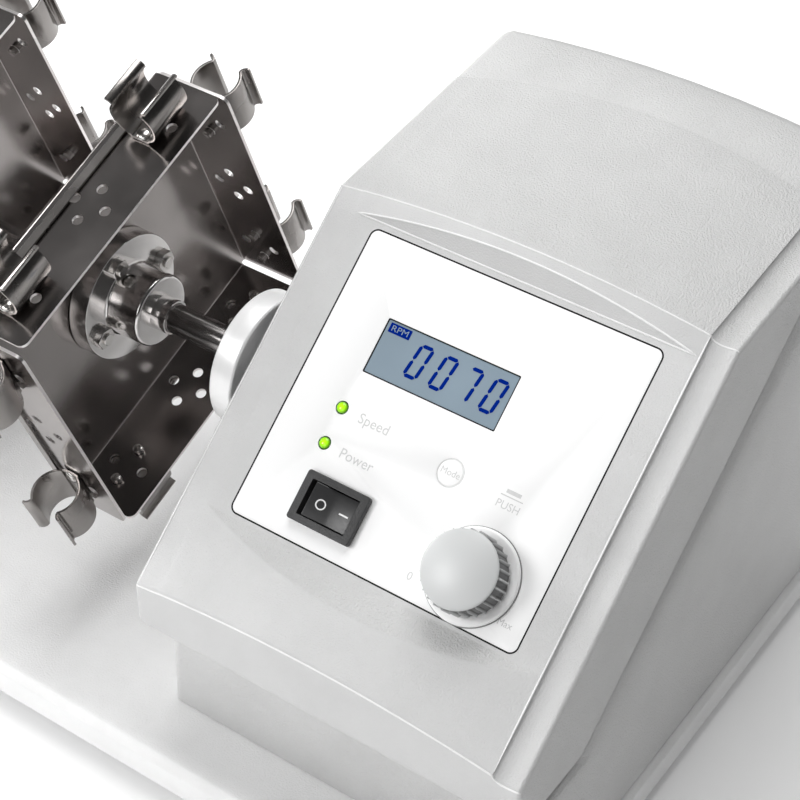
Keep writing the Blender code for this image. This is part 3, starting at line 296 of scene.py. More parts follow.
def lamp_look(title, centre):
    """Lit lens: yellow-green in the middle, dark green at its rim."""
    look = Look(title, (0.25, 0.7, 0.01), 0.12, Emission_Strength=0.55)
    away = look.vector_math("DISTANCE", look.place, PANEL @ Vector((*centre, 0)))
    glow = look.ramp(look.span(away, 0, LAMP_RADIUS), (0, (0.62, 1.0, 0.02)),
                     (0.6, (0.35, 0.85, 0.01)), (1, (0.001, 0.05, 0.001)))
    look.join(glow, look.shader.inputs["Emission Color"])
    return look.material


def knob_look():
    """Satin plastic, with painted shade darkening the depth of the flutes round the skirt."""
    look = Look("knob_satin", (0.6, 0.61, 0.61), 0.34)
    look.vary_roughness(look.noise(2800, 2), 0.12)
    look.bump(look.noise(2800, 2.5), 0.00001)
    shift = look.vector_math("SUBTRACT", look.place, PANEL @ Vector((*KNOB_CENTRE, 0)))
    reach = look.vector_math("LENGTH", look.vector_math("CROSS_PRODUCT", shift, PANEL_NORMAL))
    height = look.vector_math("DOT_PRODUCT", shift, PANEL_NORMAL)
    both = look.add("ShaderNodeMath", operation="MAXIMUM")
    look.join(look.span(reach, 10.9 * MM, 11.6 * MM), both.inputs[0])
    look.join(look.span(height, 10.2 * MM, 10.5 * MM), both.inputs[1])
    # Painted shade: the flute bottoms below the cap turn near black, standing in for their shadow.
    look.ramp(both.outputs["Value"], (0, (0.12, 0.12, 0.12)), (1, look.colour))
    return look.material


def display_look():
    """Reflective display: grey-blue with a faint horizontal weave under a clear front."""
    look = Look("display_face", (0.25, 0.32, 0.38), 0.25, Specular_IOR_Level=0.15)
    look.vary_colour(look.noise(30, 2), 0.10)
    look.bump(look.noise(2500, 1, stretch=(1, 0.1, 0.1)), 0.000004, 0.4)
    return look.material


LOOKS = {
    "housing": moulded("housing_grain", 0.618, 0.33, 0.45 * MM, 0.0002),
    "coarse": moulded("housing_coarse_grain", (0.61, 0.61, 0.608), 0.36, 0.55 * MM, 0.0004),
    # Painted highlight: pale and glossy, for the edge beads that stand in for bright highlight
    # lines on the front cover's edges.
    "bead": moulded("housing_painted_highlight", 0.86, 0.25, 0.6 * MM, 0.00004),
    # Painted light: the platform is made much paler than the housing to make up for the shade of
    # the rotor over it.
    "platform": moulded("platform_grain_painted_light", 0.93, 0.46, 0.6 * MM, 0.00018),
    "white": moulded("panel_white", 0.99, 0.5, 0.5 * MM, 0.000004, 0.005),
    "knob": knob_look(),
    "black": moulded("black_grain", (0.04, 0.04, 0.041), 0.45, 0.45 * MM, 0.00018, 0.3),
    "gloss_black": moulded("black_smooth", (0.03, 0.03, 0.031), 0.32, 0.6 * MM, 0.00001, 0.1),
    "rubber": moulded("foot_rubber", (0.025, 0.025, 0.026), 0.75, 0.6 * MM, 0.00005, 0.2),
    "display": display_look(),
    # Near black: the display's border, and painted shade in the gap round the panel.
    "groove": printed("gap_shade_and_border_black", 0.006, 0.6),
    "segment": printed("display_segment", (0.001, 0.018, 0.22), 0.6, 0.0),
    "mark": printed("mark_grey", 0.66),
    # Dark grey: painted shade under the knob ring's edge.
    "gap_shade": printed("gap_shade_grey", 0.3),
    # Pale grey: painted shade in the gap round the mode button.
    "pale_gap_shade": printed("pale_gap_shade_grey", 0.78),
    "mark_white": printed("mark_white", 0.85),
    "sheet": sheet_steel("tray_steel", (0.4, 0.374, 0.364), 0.19, 0.14),
    "sheet_edge": sheet_steel("tray_edge", (0.85, 0.82, 0.81), 0.35, 0.05),
    "clip": sheet_steel("clip_steel", (0.33, 0.312, 0.3), 0.28, 0.12),
    "polished": lathed("polished_steel", (0.78, 0.76, 0.75), 0.16, 0.8 * MM, 0.0000004),
    "shaft": lathed("shaft_steel", (0.34, 0.325, 0.32), 0.2, 0.8 * MM, 0.00000005),
    "turned": lathed("turned_aluminium", 0.99, 0.3, 0.35 * MM, 0.0000003, 0.3, 0.2),
    "screw": sheet_steel("screw_steel", (0.7, 0.68, 0.66), 0.22, 0.1),
    "zinc": sheet_steel("zinc_steel", (0.55, 0.55, 0.56), 0.35, 0.1),
    "board": moulded("solder_mask", (0.02, 0.12, 0.05), 0.35, 0.8 * MM, 0.00001, 0.1),
}


# ---------------------------------------------------------------- mesh tools


def linked(title, data):
    """A new object in the scene that holds some data."""
    obj = bpy.data.objects.new(title, data)
    bpy.context.scene.collection.objects.link(obj)
    return obj


def scene_object(title, shape, *looks):
    """An object in the scene from a bmesh, with outward faces."""
    bmesh.ops.remove_doubles(shape, verts=shape.verts, dist=0.0000005)
    bmesh.ops.recalc_face_normals(shape, faces=shape.faces)
    mesh = bpy.data.meshes.new(title)
    shape.to_mesh(mesh)
    shape.free()
    for look in looks:
        mesh.materials.append(LOOKS[look] if isinstance(look, str) else look)
    return linked(title, mesh)


def evaluated_mesh(obj):
    """A new mesh of an object as it stands with its modifiers."""
    bpy.context.view_layer.update()
    graph = bpy.context.evaluated_depsgraph_get()
    return bpy.data.meshes.new_from_object(obj.evaluated_get(graph))


def settle(obj):
    """Apply the modifiers."""
    mesh = evaluated_mesh(obj)
    obj.modifiers.clear()
    obj.data = mesh


def mesh_from_curve(title, curve):
    """The mesh of a curve or a text."""
    flat = linked(title, curve)
    mesh = evaluated_mesh(flat)
    bpy.data.objects.remove(flat)
    return mesh


def carve(obj, shape, operation="DIFFERENCE"):
    """Cut a bmesh out of an object, or join it to the object."""
    other = scene_object("tool", shape)
    step = obj.modifiers.new("carve", "BOOLEAN")
    step.operation = operation
    step.solver = "EXACT"
    step.object = other
    settle(obj)
    bpy.data.objects.remove(other)


def soften(obj, width, segments=2, limit=35):
    """Round the edges sharper than a limit in degrees."""
    step = obj.modifiers.new("soften", "BEVEL")
    step.width = width
    step.segments = segments
    step.limit_method = "ANGLE"
    step.angle_limit = math.radians(limit)
    step.use_clamp_overlap = True
    settle(obj)


def finish_piece(obj, body, nodes=(), sharp=32):
    """Smooth a piece, put it on its body, and say what it stands for."""
    mesh = obj.data
    mesh.polygons.foreach_set("use_smooth", [True] * len(mesh.polygons))
    mesh.set_sharp_from_angle(angle=math.radians(sharp))
    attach(obj, body)
    if nodes:
        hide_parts(*nodes)
    return obj


def add_piece(title, shape, look, body, nodes=(), sharp=32):
    """A finished piece straight from a bmesh."""
    return finish_piece(scene_object(title, shape, look), body, nodes, sharp)


def turned_piece(title, profile, sides, place, look, body, nodes=(), sharp=32):
    """A finished piece turned about the Z axis of its place."""
    shape = add_turned(bmesh.new(), profile, sides, place)
    add_piece(title, shape, look, body, nodes, sharp)


def copy_of(title, obj, matrix):
    """A copy of an object with its own mesh, moved by a matrix."""
    mesh = obj.data.copy()
    mesh.transform(matrix)
    return linked(title, mesh)


def polar(radius, angle):
    """The point at a distance and angle from the origin."""
    return (radius * math.cos(angle), radius * math.sin(angle))


def bridge(shape, rows, closed=True):
    """Faces between neighbouring rows of vertices, which are rings when closed."""
    count = len(rows[0])
    for lower, upper in zip(rows, rows[1:]):
        for index in range(count if closed else count - 1):
            after = (index + 1) % count
            corners = (lower[index], lower[after], upper[after], upper[index])
            unique = list(dict.fromkeys(corners))
            if len(unique) > 2:
                shape.faces.new(unique)


def add_loft(shape, rings, matrix=Matrix()):
    """Skin a closed solid over rings of points."""
    rows = [[shape.verts.new(matrix @ Vector(spot)) for spot in ring] for ring in rings]
    bridge(shape, rows)
    shape.faces.new(rows[0])
    shape.faces.new(reversed(rows[-1]))
    return shape


def add_prism(shape, loop, low, high, matrix=Matrix()):
    """A flat outline given thickness."""
    rings = [[(x, y, height) for x, y in loop] for height in (low, high)]
    return add_loft(shape, rings, matrix)


def add_box(shape, size, centre, matrix=Matrix()):
    """A box."""
    placing = matrix @ Matrix.Translation(centre) @ Matrix.Diagonal((*size, 1))
    bmesh.ops.create_cube(shape, size=1, matrix=placing)
    return shape


def add_turned(shape, profile, sides, matrix=Matrix()):
    """Revolve a closed outline of (radius, height) about the local Z axis."""
    rows = []
    for radius, height in profile:
        if radius == 0:
            rows.append([shape.verts.new(matrix @ Vector((0, 0, height)))] * sides)
            continue
        rows.append([shape.verts.new(matrix @ Vector((*polar(radius, 2 * math.pi * step / sides),
                                                      height))) for step in range(sides)])
    bridge(shape, rows + rows[:1])
    return shape


def add_drum(shape, radius, low, high, sides, matrix=Matrix()):
    """A cylinder along the local Z axis."""
    profile = ((0, low), (radius, low), (radius, high), (0, high))
    return add_turned(shape, profile, sides, matrix)


def arc(centre, radius, start, end, steps):
    """Points along an arc; the angles are in degrees."""
    spots = [polar(radius, math.radians(start + (end - start) * step / steps))
             for step in range(steps + 1)]
    return [(centre[0] + x, centre[1] + y) for x, y in spots]


def rounded_rectangle(size, radius, centre=(0, 0), steps=6, extra=0.0):
    """The outline of a rectangle with round corners, made larger over all by a width."""
    size = (size[0] + extra, size[1] + extra)
    points = []
    for side_x, side_y, start in ((1, 1, 0), (-1, 1, 90), (-1, -1, 180), (1, -1, 270)):
        middle = (centre[0] + side_x * (size[0] / 2 - radius),
                  centre[1] + side_y * (size[1] / 2 - radius))
        points += arc(middle, radius, start, start + 90, steps)
    return points


def on_panel(centre, height=0.0):
    """The place of a spot (u, v) on the panel, with the panel's axes."""
    return PANEL @ Matrix.Translation((*centre, height))


def rounded_profile(corners, radius, steps=4):
    """A closed (radius, height) outline with its off-axis corners rounded."""
    points = []
    for index, corner in enumerate(corners):
        here = Vector(corner)
        if corner[0] == 0:
            points.append(corner)
            continue
        back = Vector(corners[index - 1]) - here
        ahead = Vector(corners[(index + 1) % len(corners)]) - here
        reach = min(radius, back.length * 0.45, ahead.length * 0.45)
        first = here + back.normalized() * reach
        last = here + ahead.normalized() * reach
        for step in range(steps + 1):
            share = step / steps
            spot = first.lerp(here, share).lerp(here.lerp(last, share), share)
            points.append((spot.x, spot.y))
    return points


# Turn a shape made along Z so that it lies along X or Y
ALONG_X = Matrix.Rotation(math.pi / 2, 4, "Y")
ALONG_Y = Matrix.Rotation(-math.pi / 2, 4, "X")


def refined(node, look, body, width, segments=2, limit=40, sharp=32):
    """A CAD node's own shape with its edges rounded and its curves shaded smooth."""
    shape = bmesh.new()
    shape.from_mesh(frame["nodes"][node].data)
    bmesh.ops.remove_doubles(shape, verts=shape.verts, dist=0.000001)
    bmesh.ops.dissolve_limit(shape, angle_limit=math.radians(0.6), verts=shape.verts,
                             edges=shape.edges)
    obj = scene_object(node + "_fine", shape, look)
    if width:
        soften(obj, width, segments, limit)
    return finish_piece(obj, body, (node,), sharp)


# ---------------------------------------------------------------- drive head


def crown_height(u):
    """Height of the crowned front above the panel's plane, with a cove along each side."""
    reach = abs(u - CENTRE_U)
    depth = COVE_DEPTH if u > CENTRE_U else LEFT_COVE_DEPTH
    height = CROWN * (1 - (reach / HALF_CHORD) ** 2)
    edge = HALF_CHORD + CREASE_WIDTH
    if reach > edge:
        share = min(1.0, (reach - edge) / (HALF_WIDTH - edge))
        height -= depth * math.sin(math.pi * share ** COVE_SKEW)
    return height


def meet(first, second):
    """The point where two lines meet; a line is (normal y, normal z, distance)."""
    a1, b1, c1 = first
    a2, b2, c2 = second
    determinant = a1 * b2 - a2 * b1
    return ((c1 * b2 - c2 * b1) / determinant, (a1 * c2 - a2 * c1) / determinant)


def wall_line(normal, point, inset):
    """A wall's line with its outward normal, moved inwards by an inset."""
    distance = normal[0] * point[0] + normal[1] * point[1] - inset
    return (normal[0], normal[1], distance)


def corner_arc(lines, radius, steps):
    """The rounded corner where the second and third of four lines in a row meet."""
    before, here, after = (Vector(meet(*pair)) for pair in zip(lines, lines[1:]))
    back = (before - here).normalized()
    ahead = (after - here).normalized()
    half = back.angle(ahead) / 2
    middle = here + (back + ahead).normalized() * radius / math.sin(half)
    first = here + back * (radius / math.tan(half)) - middle
    last = here + ahead * (radius / math.tan(half)) - middle
    sweep = first.angle_signed(last)
    return [tuple(middle + Matrix.Rotation(-sweep * step / steps, 2) @ first)
            for step in range(steps + 1)]


def slope_spot(v, w):
    """A point of the sloped face in (y, z) from the panel's corner."""
    return (v * math.cos(TILT) - w * math.sin(TILT), v * math.sin(TILT) + w * math.cos(TILT))


def eased_rise(v, first, last, run, blend):
    """Height gained on a ramp from first to last, with both its ends eased."""
    total = 0.0
    for at, sign in ((first, 1), (last, -1)):
        past = v - at
        if past >= blend:
            total += sign * past / run
        elif past > -blend:
            total += sign * (past + blend) ** 2 / (4 * blend * run)
    return total


def front_ring(u, inset):
    """The front shell's outline at one station, with the pocket pressed into the crown."""
    crown = crown_height(u)
    edge_z = TOP_EDGE_Y * math.tan(TILT) + crown / math.cos(TILT)
    top = wall_line(TOP_NORMAL, (TOP_EDGE_Y, edge_z), inset)
    slope = wall_line(SLOPE_NORMAL, (SLOPE_NORMAL[0] * crown, SLOPE_NORMAL[1] * crown), inset)
    wall = wall_line((-1, 0), (FRONT_WALL_Y, 0), inset)
    chin = wall_line((0, -1), (0, CHIN_Z), inset)
    seam = wall_line((-SLOPE_NORMAL[0], -SLOPE_NORMAL[1]),
                     (-SLOPE_NORMAL[0] * SEAM_DEPTH, -SLOPE_NORMAL[1] * SEAM_DEPTH), 0)
    upper = corner_arc((seam, top, slope, wall), 2.2 * MM, 6)
    lower = corner_arc((top, slope, wall, chin), 2.6 * MM, 7)
    under = corner_arc((slope, wall, chin, seam), 4 * MM, 6)
    start, end = (y * math.cos(TILT) + z * math.sin(TILT) for y, z in (upper[-1], lower[0]))
    depth = max(crown, 0.03 * MM)
    high = POCKET_HIGH + POCKET_HIGH_RUN * depth
    low = POCKET_LOW - POCKET_LOW_RUN * depth
    blend = min(POCKET_BLEND, 0.4 * POCKET_HIGH_RUN * depth)
    floor = POCKET_HIGH - POCKET_LOW - 2 * blend
    spots = [(start + high + blend) / 2]
    for at in (high, POCKET_HIGH, POCKET_LOW, low):
        spots += [at + blend, at + blend / 2, at, at - blend / 2, at - blend]
        if at == POCKET_HIGH:
            spots += [at - blend - floor * step / 12 for step in range(1, 12)]
    spots += [low - blend + (end - low + blend) * step / 6 for step in range(1, 6)]
    points = list(upper)
    for v in spots:
        height = crown
        if crown > 0:
            rise = (eased_rise(v, POCKET_HIGH, high, POCKET_HIGH_RUN, blend)
                    + eased_rise(-v, -POCKET_LOW, -low, POCKET_LOW_RUN, blend))
            height = min(crown, rise)
        points.append(slope_spot(v, height - inset))
    points += lower + under + [meet(chin, seam), meet(seam, top)]
    return [(u + CORNER.x, y + CORNER.y, z + CORNER.z) for y, z in points]


def across_head(steps):
    """Stations (u, inset) over the head's width, with round side edges."""
    left = CENTRE_U - HALF_WIDTH
    right = CENTRE_U + HALF_WIDTH
    # The rounding runs from the side wall (full inset) to the crowned face (none)
    turns = [math.pi / 2 * step / ROUNDING_STEPS for step in range(ROUNDING_STEPS + 1)]
    stations = [(left + SIDE_ROUNDING * (1 - math.cos(turn)),
                 SIDE_ROUNDING * (1 - math.sin(turn))) for turn in turns]
    span = right - left - 2 * SIDE_ROUNDING
    marks = {left + SIDE_ROUNDING + span * step / steps for step in range(1, steps)}
    for side in (-1, 1):
        for extra in (0, 0.3, 0.6, 0.9, 1.3, 1.8, 2.4, 3.2, 4.2, 5.4):
            marks.add(CENTRE_U + side * (HALF_CHORD + CREASE_WIDTH + extra * MM))
        for extra in (0.05, 0.3, 0.8, 1.6, 3.0, 5.0):
            marks.add(CENTRE_U + side * (HALF_CHORD - extra * MM))
    stations += [(u, 0.0) for u in sorted(marks)]
    stations += [(left + right - u, drop) for u, drop in reversed(stations[:len(turns)])]
    return stations


def heading_at(path, index):
    """The direction of a path at one of its points."""
    return (Vector(path[min(index + 1, len(path) - 1)])
            - Vector(path[max(index - 1, 0)])).normalized()


def add_highlight_bead(title, path, radius=0.3 * MM):
    """A fine smooth bead along one of the front cover's edges, half sunk into it, pale and glossy
    to paint a highlight line on the edge.
    """
    rings = []
    for index, spot in enumerate(path):
        here = Vector(spot)
        heading = heading_at(path, index)
        side = heading.cross(PANEL_NORMAL).normalized()
        lift = side.cross(heading)
        share = min(1.0, 0.3 + min(index, len(path) - 1 - index) / 4)
        rings.append([here - lift * 0.06 * MM
                      + (side * math.cos(turn) + lift * math.sin(turn)) * radius * share
                      for turn in (2 * math.pi * step / 10 for step in range(10))])
    add_piece(title, add_loft(bmesh.new(), rings), "bead", "housing",
              sharp=60)


def add_openings(shape, mode_radius, lamp_radius, reach, sides):
    """Cutters for the rocker, the knob's shaft, the button and the lamps."""
    add_box(shape, (*ROCKER_HOLE, 2 * reach), (*ROCKER_CENTRE, 0), PANEL)
    for centre, radius in ((KNOB_CENTRE, 4 * MM), (MODE_CENTRE, mode_radius),
                           *((spot, lamp_radius) for spot in LAMP_CENTRES.values())):
        add_drum(shape, radius, -reach, reach, sides, on_panel(centre))


def front_shell():
    """The sloped front cover."""
    rings = [front_ring(u, inset) for u, inset in across_head(52)]
    shell = scene_object("front_shell", add_loft(bmesh.new(), rings), "housing")
    hollow = []
    for u in (CENTRE_U - HALF_WIDTH + WALL, CENTRE_U + HALF_WIDTH - WALL):
        ring = []
        past_seam = -SEAM_DEPTH - 5 * MM
        for v, w in ((POCKET_HIGH + 3 * MM, -WALL), (-26 * MM, -WALL), mm(-26, -12),
                     (-16 * MM, past_seam), (POCKET_HIGH - 16 * MM, past_seam)):
            y, z = slope_spot(v, w)
            ring.append((u + CORNER.x, y + CORNER.y, z + CORNER.z))
        hollow.append(ring)
    carve(shell, add_loft(bmesh.new(), hollow))
    recess = rounded_rectangle(PANEL_SIZE, PANEL_RADIUS + GAP, PANEL_MIDDLE, 6, 2 * GAP)
    carve(shell, add_prism(bmesh.new(), recess, -PANEL_THICKNESS - GAP, 8 * MM, PANEL))
    holes = bmesh.new()
    add_box(holes, (LCD_SIZE[0] - 2 * MM, LCD_SIZE[1] - 2 * MM, 12 * MM), (*LCD_CENTRE, 0), PANEL)
    add_openings(holes, 3 * MM, LAMP_RADIUS + GAP, 6 * MM, 32)
    side = Matrix.Translation((CENTRE_U - HALF_WIDTH + CORNER.x, AXIS.y, AXIS.z)) @ ALONG_X
    add_drum(holes, 8 * MM, -6 * MM, 6 * MM, 48, side)
    carve(shell, holes)
    shell.data.materials.append(LOOKS["coarse"])
    for face in shell.data.polygons:
        if face.normal.z > 0.9 or face.normal.x > 0.9:
            face.material_index = 1
    finish_piece(shell, "housing", ("front_cover",), 30)
    crowned = [ring for ring in rings if crown_height(ring[0][0] - CORNER.x) > 0.02 * MM]
    # Pale beads paint highlight lines along the top edge, the pocket's edges, the front edge and
    # the side creases.
    add_highlight_bead("edge_highlight_top", [ring[3] for ring in rings[3:-3]])
    add_highlight_bead("edge_highlight_brow", [ring[10] for ring in crowned])
    add_highlight_bead("edge_highlight_pocket", [ring[15] for ring in crowned])
    add_highlight_bead("edge_highlight_front", [ring[-13] for ring in rings[3:-3]])
    add_highlight_bead("edge_highlight_left", rings[7][5:-16])
    right = front_ring(CENTRE_U + HALF_CHORD + CREASE_WIDTH, 0)
    add_highlight_bead("edge_highlight_right", right[5:-16])


def rear_body():
    """The body behind the seam, the platform, the post and its cover."""
    refined("rear_cover", "coarse", "housing", 0.5 * MM, 3)
    refined("base_platform", "platform", "housing", 0.8 * MM, 3)
    refined("support_post", "housing", "housing", 0.5 * MM, 2)
    refined("post_cover", "housing", "housing", 0.4 * MM, 2)


# ---------------------------------------------------------------- panel


def panel_plate():
    """White faceplate with its openings."""
    plate = bmesh.new()
    outline = rounded_rectangle(PANEL_SIZE, PANEL_RADIUS, PANEL_MIDDLE, 10)
    add_prism(plate, outline, -PANEL_THICKNESS, 0, PANEL)
    obj = scene_object("faceplate", plate, "white")
    holes = bmesh.new()
    add_prism(holes, rounded_rectangle(LCD_SIZE, 0.4 * MM, LCD_CENTRE), -3 * MM, 3 * MM, PANEL)
    add_openings(holes, MODE_RADIUS, LAMP_RADIUS + 0.2 * MM, 3 * MM, 64)
    carve(obj, holes)
    soften(obj, 0.08 * MM, 2, 50)
    finish_piece(obj, "housing", ("control_panel",))
    # Painted shade: a near-black frame fills the gap round the panel, standing in for the gap's
    # shadow.
    outer = rounded_rectangle(PANEL_SIZE, PANEL_RADIUS + 1.5 * GAP, PANEL_MIDDLE, 10, 3 * GAP)
    inner = rounded_rectangle(PANEL_SIZE, PANEL_RADIUS, PANEL_MIDDLE, 10, 0.04 * GAP)
    add_frame("panel_gap_shade", outer, inner, -1.4 * MM, 0.03 * MM)


def add_frame(title, outer, inner, low, high):
    """A thin dark frame between two outlines with the same number of points."""
    shape = bmesh.new()
    rows = [[shape.verts.new(PANEL @ Vector((x, y, height))) for x, y in loop]
            for loop, height in ((outer, low), (outer, high), (inner, high), (inner, low))]
    bridge(shape, rows + rows[:1])
    add_piece(title, shape, "groove", "housing")


def display():
    """Display window, its dark border, the digits and the small blue tag."""
    outer, face, inner = (rounded_rectangle(LCD_SIZE, radius * MM, LCD_CENTRE, 6, extra * MM)
                          for radius, extra in ((0.4, -0.02), (0.4, -0.6), (0.35, -0.7)))
    obj = scene_object("display_face", add_prism(bmesh.new(), face, -1.1 * MM, -0.2 * MM, PANEL),
                       "display")
    soften(obj, 0.1 * MM, 1)
    finish_piece(obj, "housing", ("lcd_window",))
    add_frame("display_border", outer, inner, -1.0 * MM, -0.1 * MM)
    left = LCD_CENTRE[0] - LCD_SIZE[0] / 2
    top = LCD_CENTRE[1] + LCD_SIZE[1] / 2
    tag = bmesh.new()
    middle = (left + 4.9 * MM, top - 2.3 * MM)
    add_prism(tag, rounded_rectangle(mm(7.2, 2.85), 0.2 * MM, middle), -0.2 * MM, -0.14 * MM, PANEL)
    add_piece("display_tag", tag, "segment", "housing")
    letters("display_tag_word", "RPM", 1.75 * MM, (left + 4.9 * MM, top - 2.35 * MM),
            "display", -0.14 * MM, 1.25)
    digits = bmesh.new()
    for number, bars in enumerate(("abcdef", "abcdef", "abc", "abcdef")):
        place = (left + (11.94 + 8.333 * number) * MM, top - 2.85 * MM)
        for bar in bars:
            add_segment(digits, bar, place)
    add_piece("display_digits", digits, "segment", "housing")


def add_segment(shape, bar, place):
    """One bar of a slanted seven-segment digit, from the digit's top left corner."""
    width, height, thick, gap = 4.9 * MM, 10.6 * MM, 1.1 * MM, 0.12 * MM
    slant = 1.5 * MM / height
    half = thick / 2
    x0, x1 = half, width - half
    y0, y1, y2 = -half, -height / 2, -height + half
    ends = {"a": ((x0, y0), (x1, y0)), "b": ((x1, y0), (x1, y1)), "c": ((x1, y1), (x1, y2)),
            "d": ((x0, y2), (x1, y2)), "e": ((x0, y1), (x0, y2)), "f": ((x0, y0), (x0, y1))}
    first, last = (Vector(spot) for spot in ends[bar])
    along = (last - first).normalized()
    side = Vector((-along.y, along.x)) * half
    first, last = first + along * gap, last - along * gap
    loop = [first, first + along * half + side, last - along * half + side, last,
            last - along * half - side, first + along * half - side]
    loop = [(place[0] + spot.x + slant * (spot.y + height / 2), place[1] + spot.y)
            for spot in loop]
    add_prism(shape, loop, -0.2 * MM, -0.15 * MM, PANEL)


def letters(title, text, height, centre, look, base, stretch=1.0):
    """A plain word laid on the panel as thin print."""
    curve = bpy.data.curves.new(title, "FONT")
    curve.body = text
    curve.size = height / 0.7
    curve.align_x = "CENTER"
    curve.align_y = "CENTER"
    curve.extrude = 0.01 * MM
    curve.resolution_u = 4
    mesh = mesh_from_curve(title + "_text", curve)
    mesh.transform(on_panel(centre, base + 0.012 * MM) @ Matrix.Diagonal((stretch, 1, 1, 1)))
    mesh.materials.clear()
    mesh.materials.append(LOOKS[look])
    return finish_piece(linked(title, mesh), "housing")


def panel_print():
    """Pale functional marks: plain words, a push symbol and a zero."""
    for title, text, size, centre in (
            ("print_speed", "Speed", 3.0, mm(28.2, 39.2)),
            ("print_power", "Power", 3.0, mm(28.3, 28.1)),
            ("print_push", "PUSH", 2.2, mm(75, 34.6)), ("print_zero", "0", 2.4, mm(58.5, 6.1)),
            ("print_max", "Max", 1.9, mm(89.2, 6.2))):
        letters(title, text, size * MM, centre, "mark", 0)
    shape = bmesh.new()
    add_box(shape, mm(4.6, 1.1, 0.02), mm(75, 38.6, 0.012), PANEL)
    add_box(shape, mm(7, 0.3, 0.02), mm(75, 37.2, 0.012), PANEL)
    add_piece("print_push_symbol", shape, "mark", "housing")


def lamps():
    """Two green lamps with domed lenses."""
    for node, centre in LAMP_CENTRES.items():
        radius = LAMP_RADIUS - 0.1 * MM
        profile = [(0, 0.7 * MM)]
        profile += [(radius * math.sin(math.pi / 2 * step / 8),
                     -0.2 * MM + 0.9 * MM * math.cos(math.pi / 2 * step / 8))
                    for step in range(1, 9)]
        profile += [(radius, -7 * MM), (0, -7 * MM)]
        turned_piece(node + "_lens", profile, 48, on_panel(centre),
                     lamp_look(node + "_glow", centre), "housing", (node,), 60)


def mode_button():
    """Round button, a little domed, in its groove."""
    radius = MODE_RADIUS - GAP
    profile = [(0, -0.02 * MM), (radius - 0.5 * MM, -0.02 * MM), (radius - 0.15 * MM, -0.1 * MM),
               (radius, -0.25 * MM), (radius, -0.8 * MM), mm(2.4, -0.8),
               mm(2.4, -3.6), (0, -3.6 * MM)]
    place = on_panel(MODE_CENTRE)
    turned_piece("mode_cap", profile, 96, place, "white", "mode",
                 ("mode_button",), 50)
    # Painted shade: a pale grey ring in the gap round the button stands in for the gap's shadow.
    ring = [(radius + 0.02 * MM, -1.1 * MM), (radius + 0.02 * MM, -0.06 * MM),
            (MODE_RADIUS - 0.01 * MM, -0.06 * MM), (MODE_RADIUS - 0.01 * MM, -1.1 * MM)]
    turned_piece("mode_gap_shade", ring, 96, place, "pale_gap_shade", "housing")
    word = letters("mode_word", "Mode", 1.9 * MM, MODE_CENTRE, "mark", -0.02 * MM)
    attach(word, "mode")


def rocker():
    """Mains rocker: textured bezel, key with raised edges, and its marks."""
    outer = rounded_rectangle(ROCKER_BEZEL, 0.9 * MM, ROCKER_CENTRE)
    bezel = scene_object("rocker_frame", add_prism(bmesh.new(), outer, GAP, 2.3 * MM, PANEL),
                         "black")
    soften(bezel, 0.2 * MM, 3, 60)
    body = bmesh.new()
    add_box(body, (*ROCKER_BODY, 14 * MM), (*ROCKER_CENTRE, -6.5 * MM), PANEL)
    carve(bezel, body, "UNION")
    carve(bezel, add_prism(bmesh.new(), rounded_rectangle(ROCKER_WELL, 0.4 * MM, ROCKER_CENTRE, 3),
                           -10.5 * MM, 6 * MM, PANEL))
    finish_piece(bezel, "housing", ("rocker_bezel",))
    place = on_panel(ROCKER_CENTRE, -3 * MM) @ Matrix.Rotation(ROCKER_LEAN, 4, "Y")
    half = ROCKER_WELL[1] / 2 - GAP
    half_run = 7 * MM
    top = [(u, key_top(u)) for u in (half_run * (step / 12 - 1) for step in range(25))]
    profile = top + [mm(6.4, -1), mm(1.5, -3), mm(-1.5, -3), mm(-6.4, -1)]
    rings = [[(u, side, w) for u, w in profile] for side in (-half, half)]
    key = scene_object("rocker_cap", add_loft(bmesh.new(), rings, place), "gloss_black")
    soften(key, 0.25 * MM, 3, 50)
    finish_piece(key, "rocker", ("rocker_key",), 30)
    marks = bmesh.new()
    centre = mm(-3.2, -0.3)
    outer_loop = arc(centre, 1.55 * MM, 0, 360, 48)
    inner_loop = arc(centre, 1.15 * MM, 0, 360, 48)
    for index in range(48):
        corners = (outer_loop[index], outer_loop[index + 1], inner_loop[index + 1],
                   inner_loop[index])
        add_mark(marks, corners, place)
    for step in range(8):
        low, high = (2.7 + 3.0 * step / 8) * MM, (2.7 + 3.0 * (step + 1) / 8) * MM
        add_mark(marks, ((low, -0.5 * MM), (high, -0.5 * MM), (high, 0.0), (low, 0.0)), place)
    add_piece("rocker_marks", marks, "mark_white", "rocker")


def key_top(u):
    """Height of the rocker key's hollow top across its width."""
    return 4.3 * MM + 0.9 * MM * (abs(u) / (7 * MM)) ** 1.4


def add_mark(shape, corners, place):
    """A scrap of print that follows the rocker key's hollow top."""
    shape.faces.new([shape.verts.new(place @ Vector((u, v, key_top(u) + 0.025 * MM)))
                     for u, v in corners])


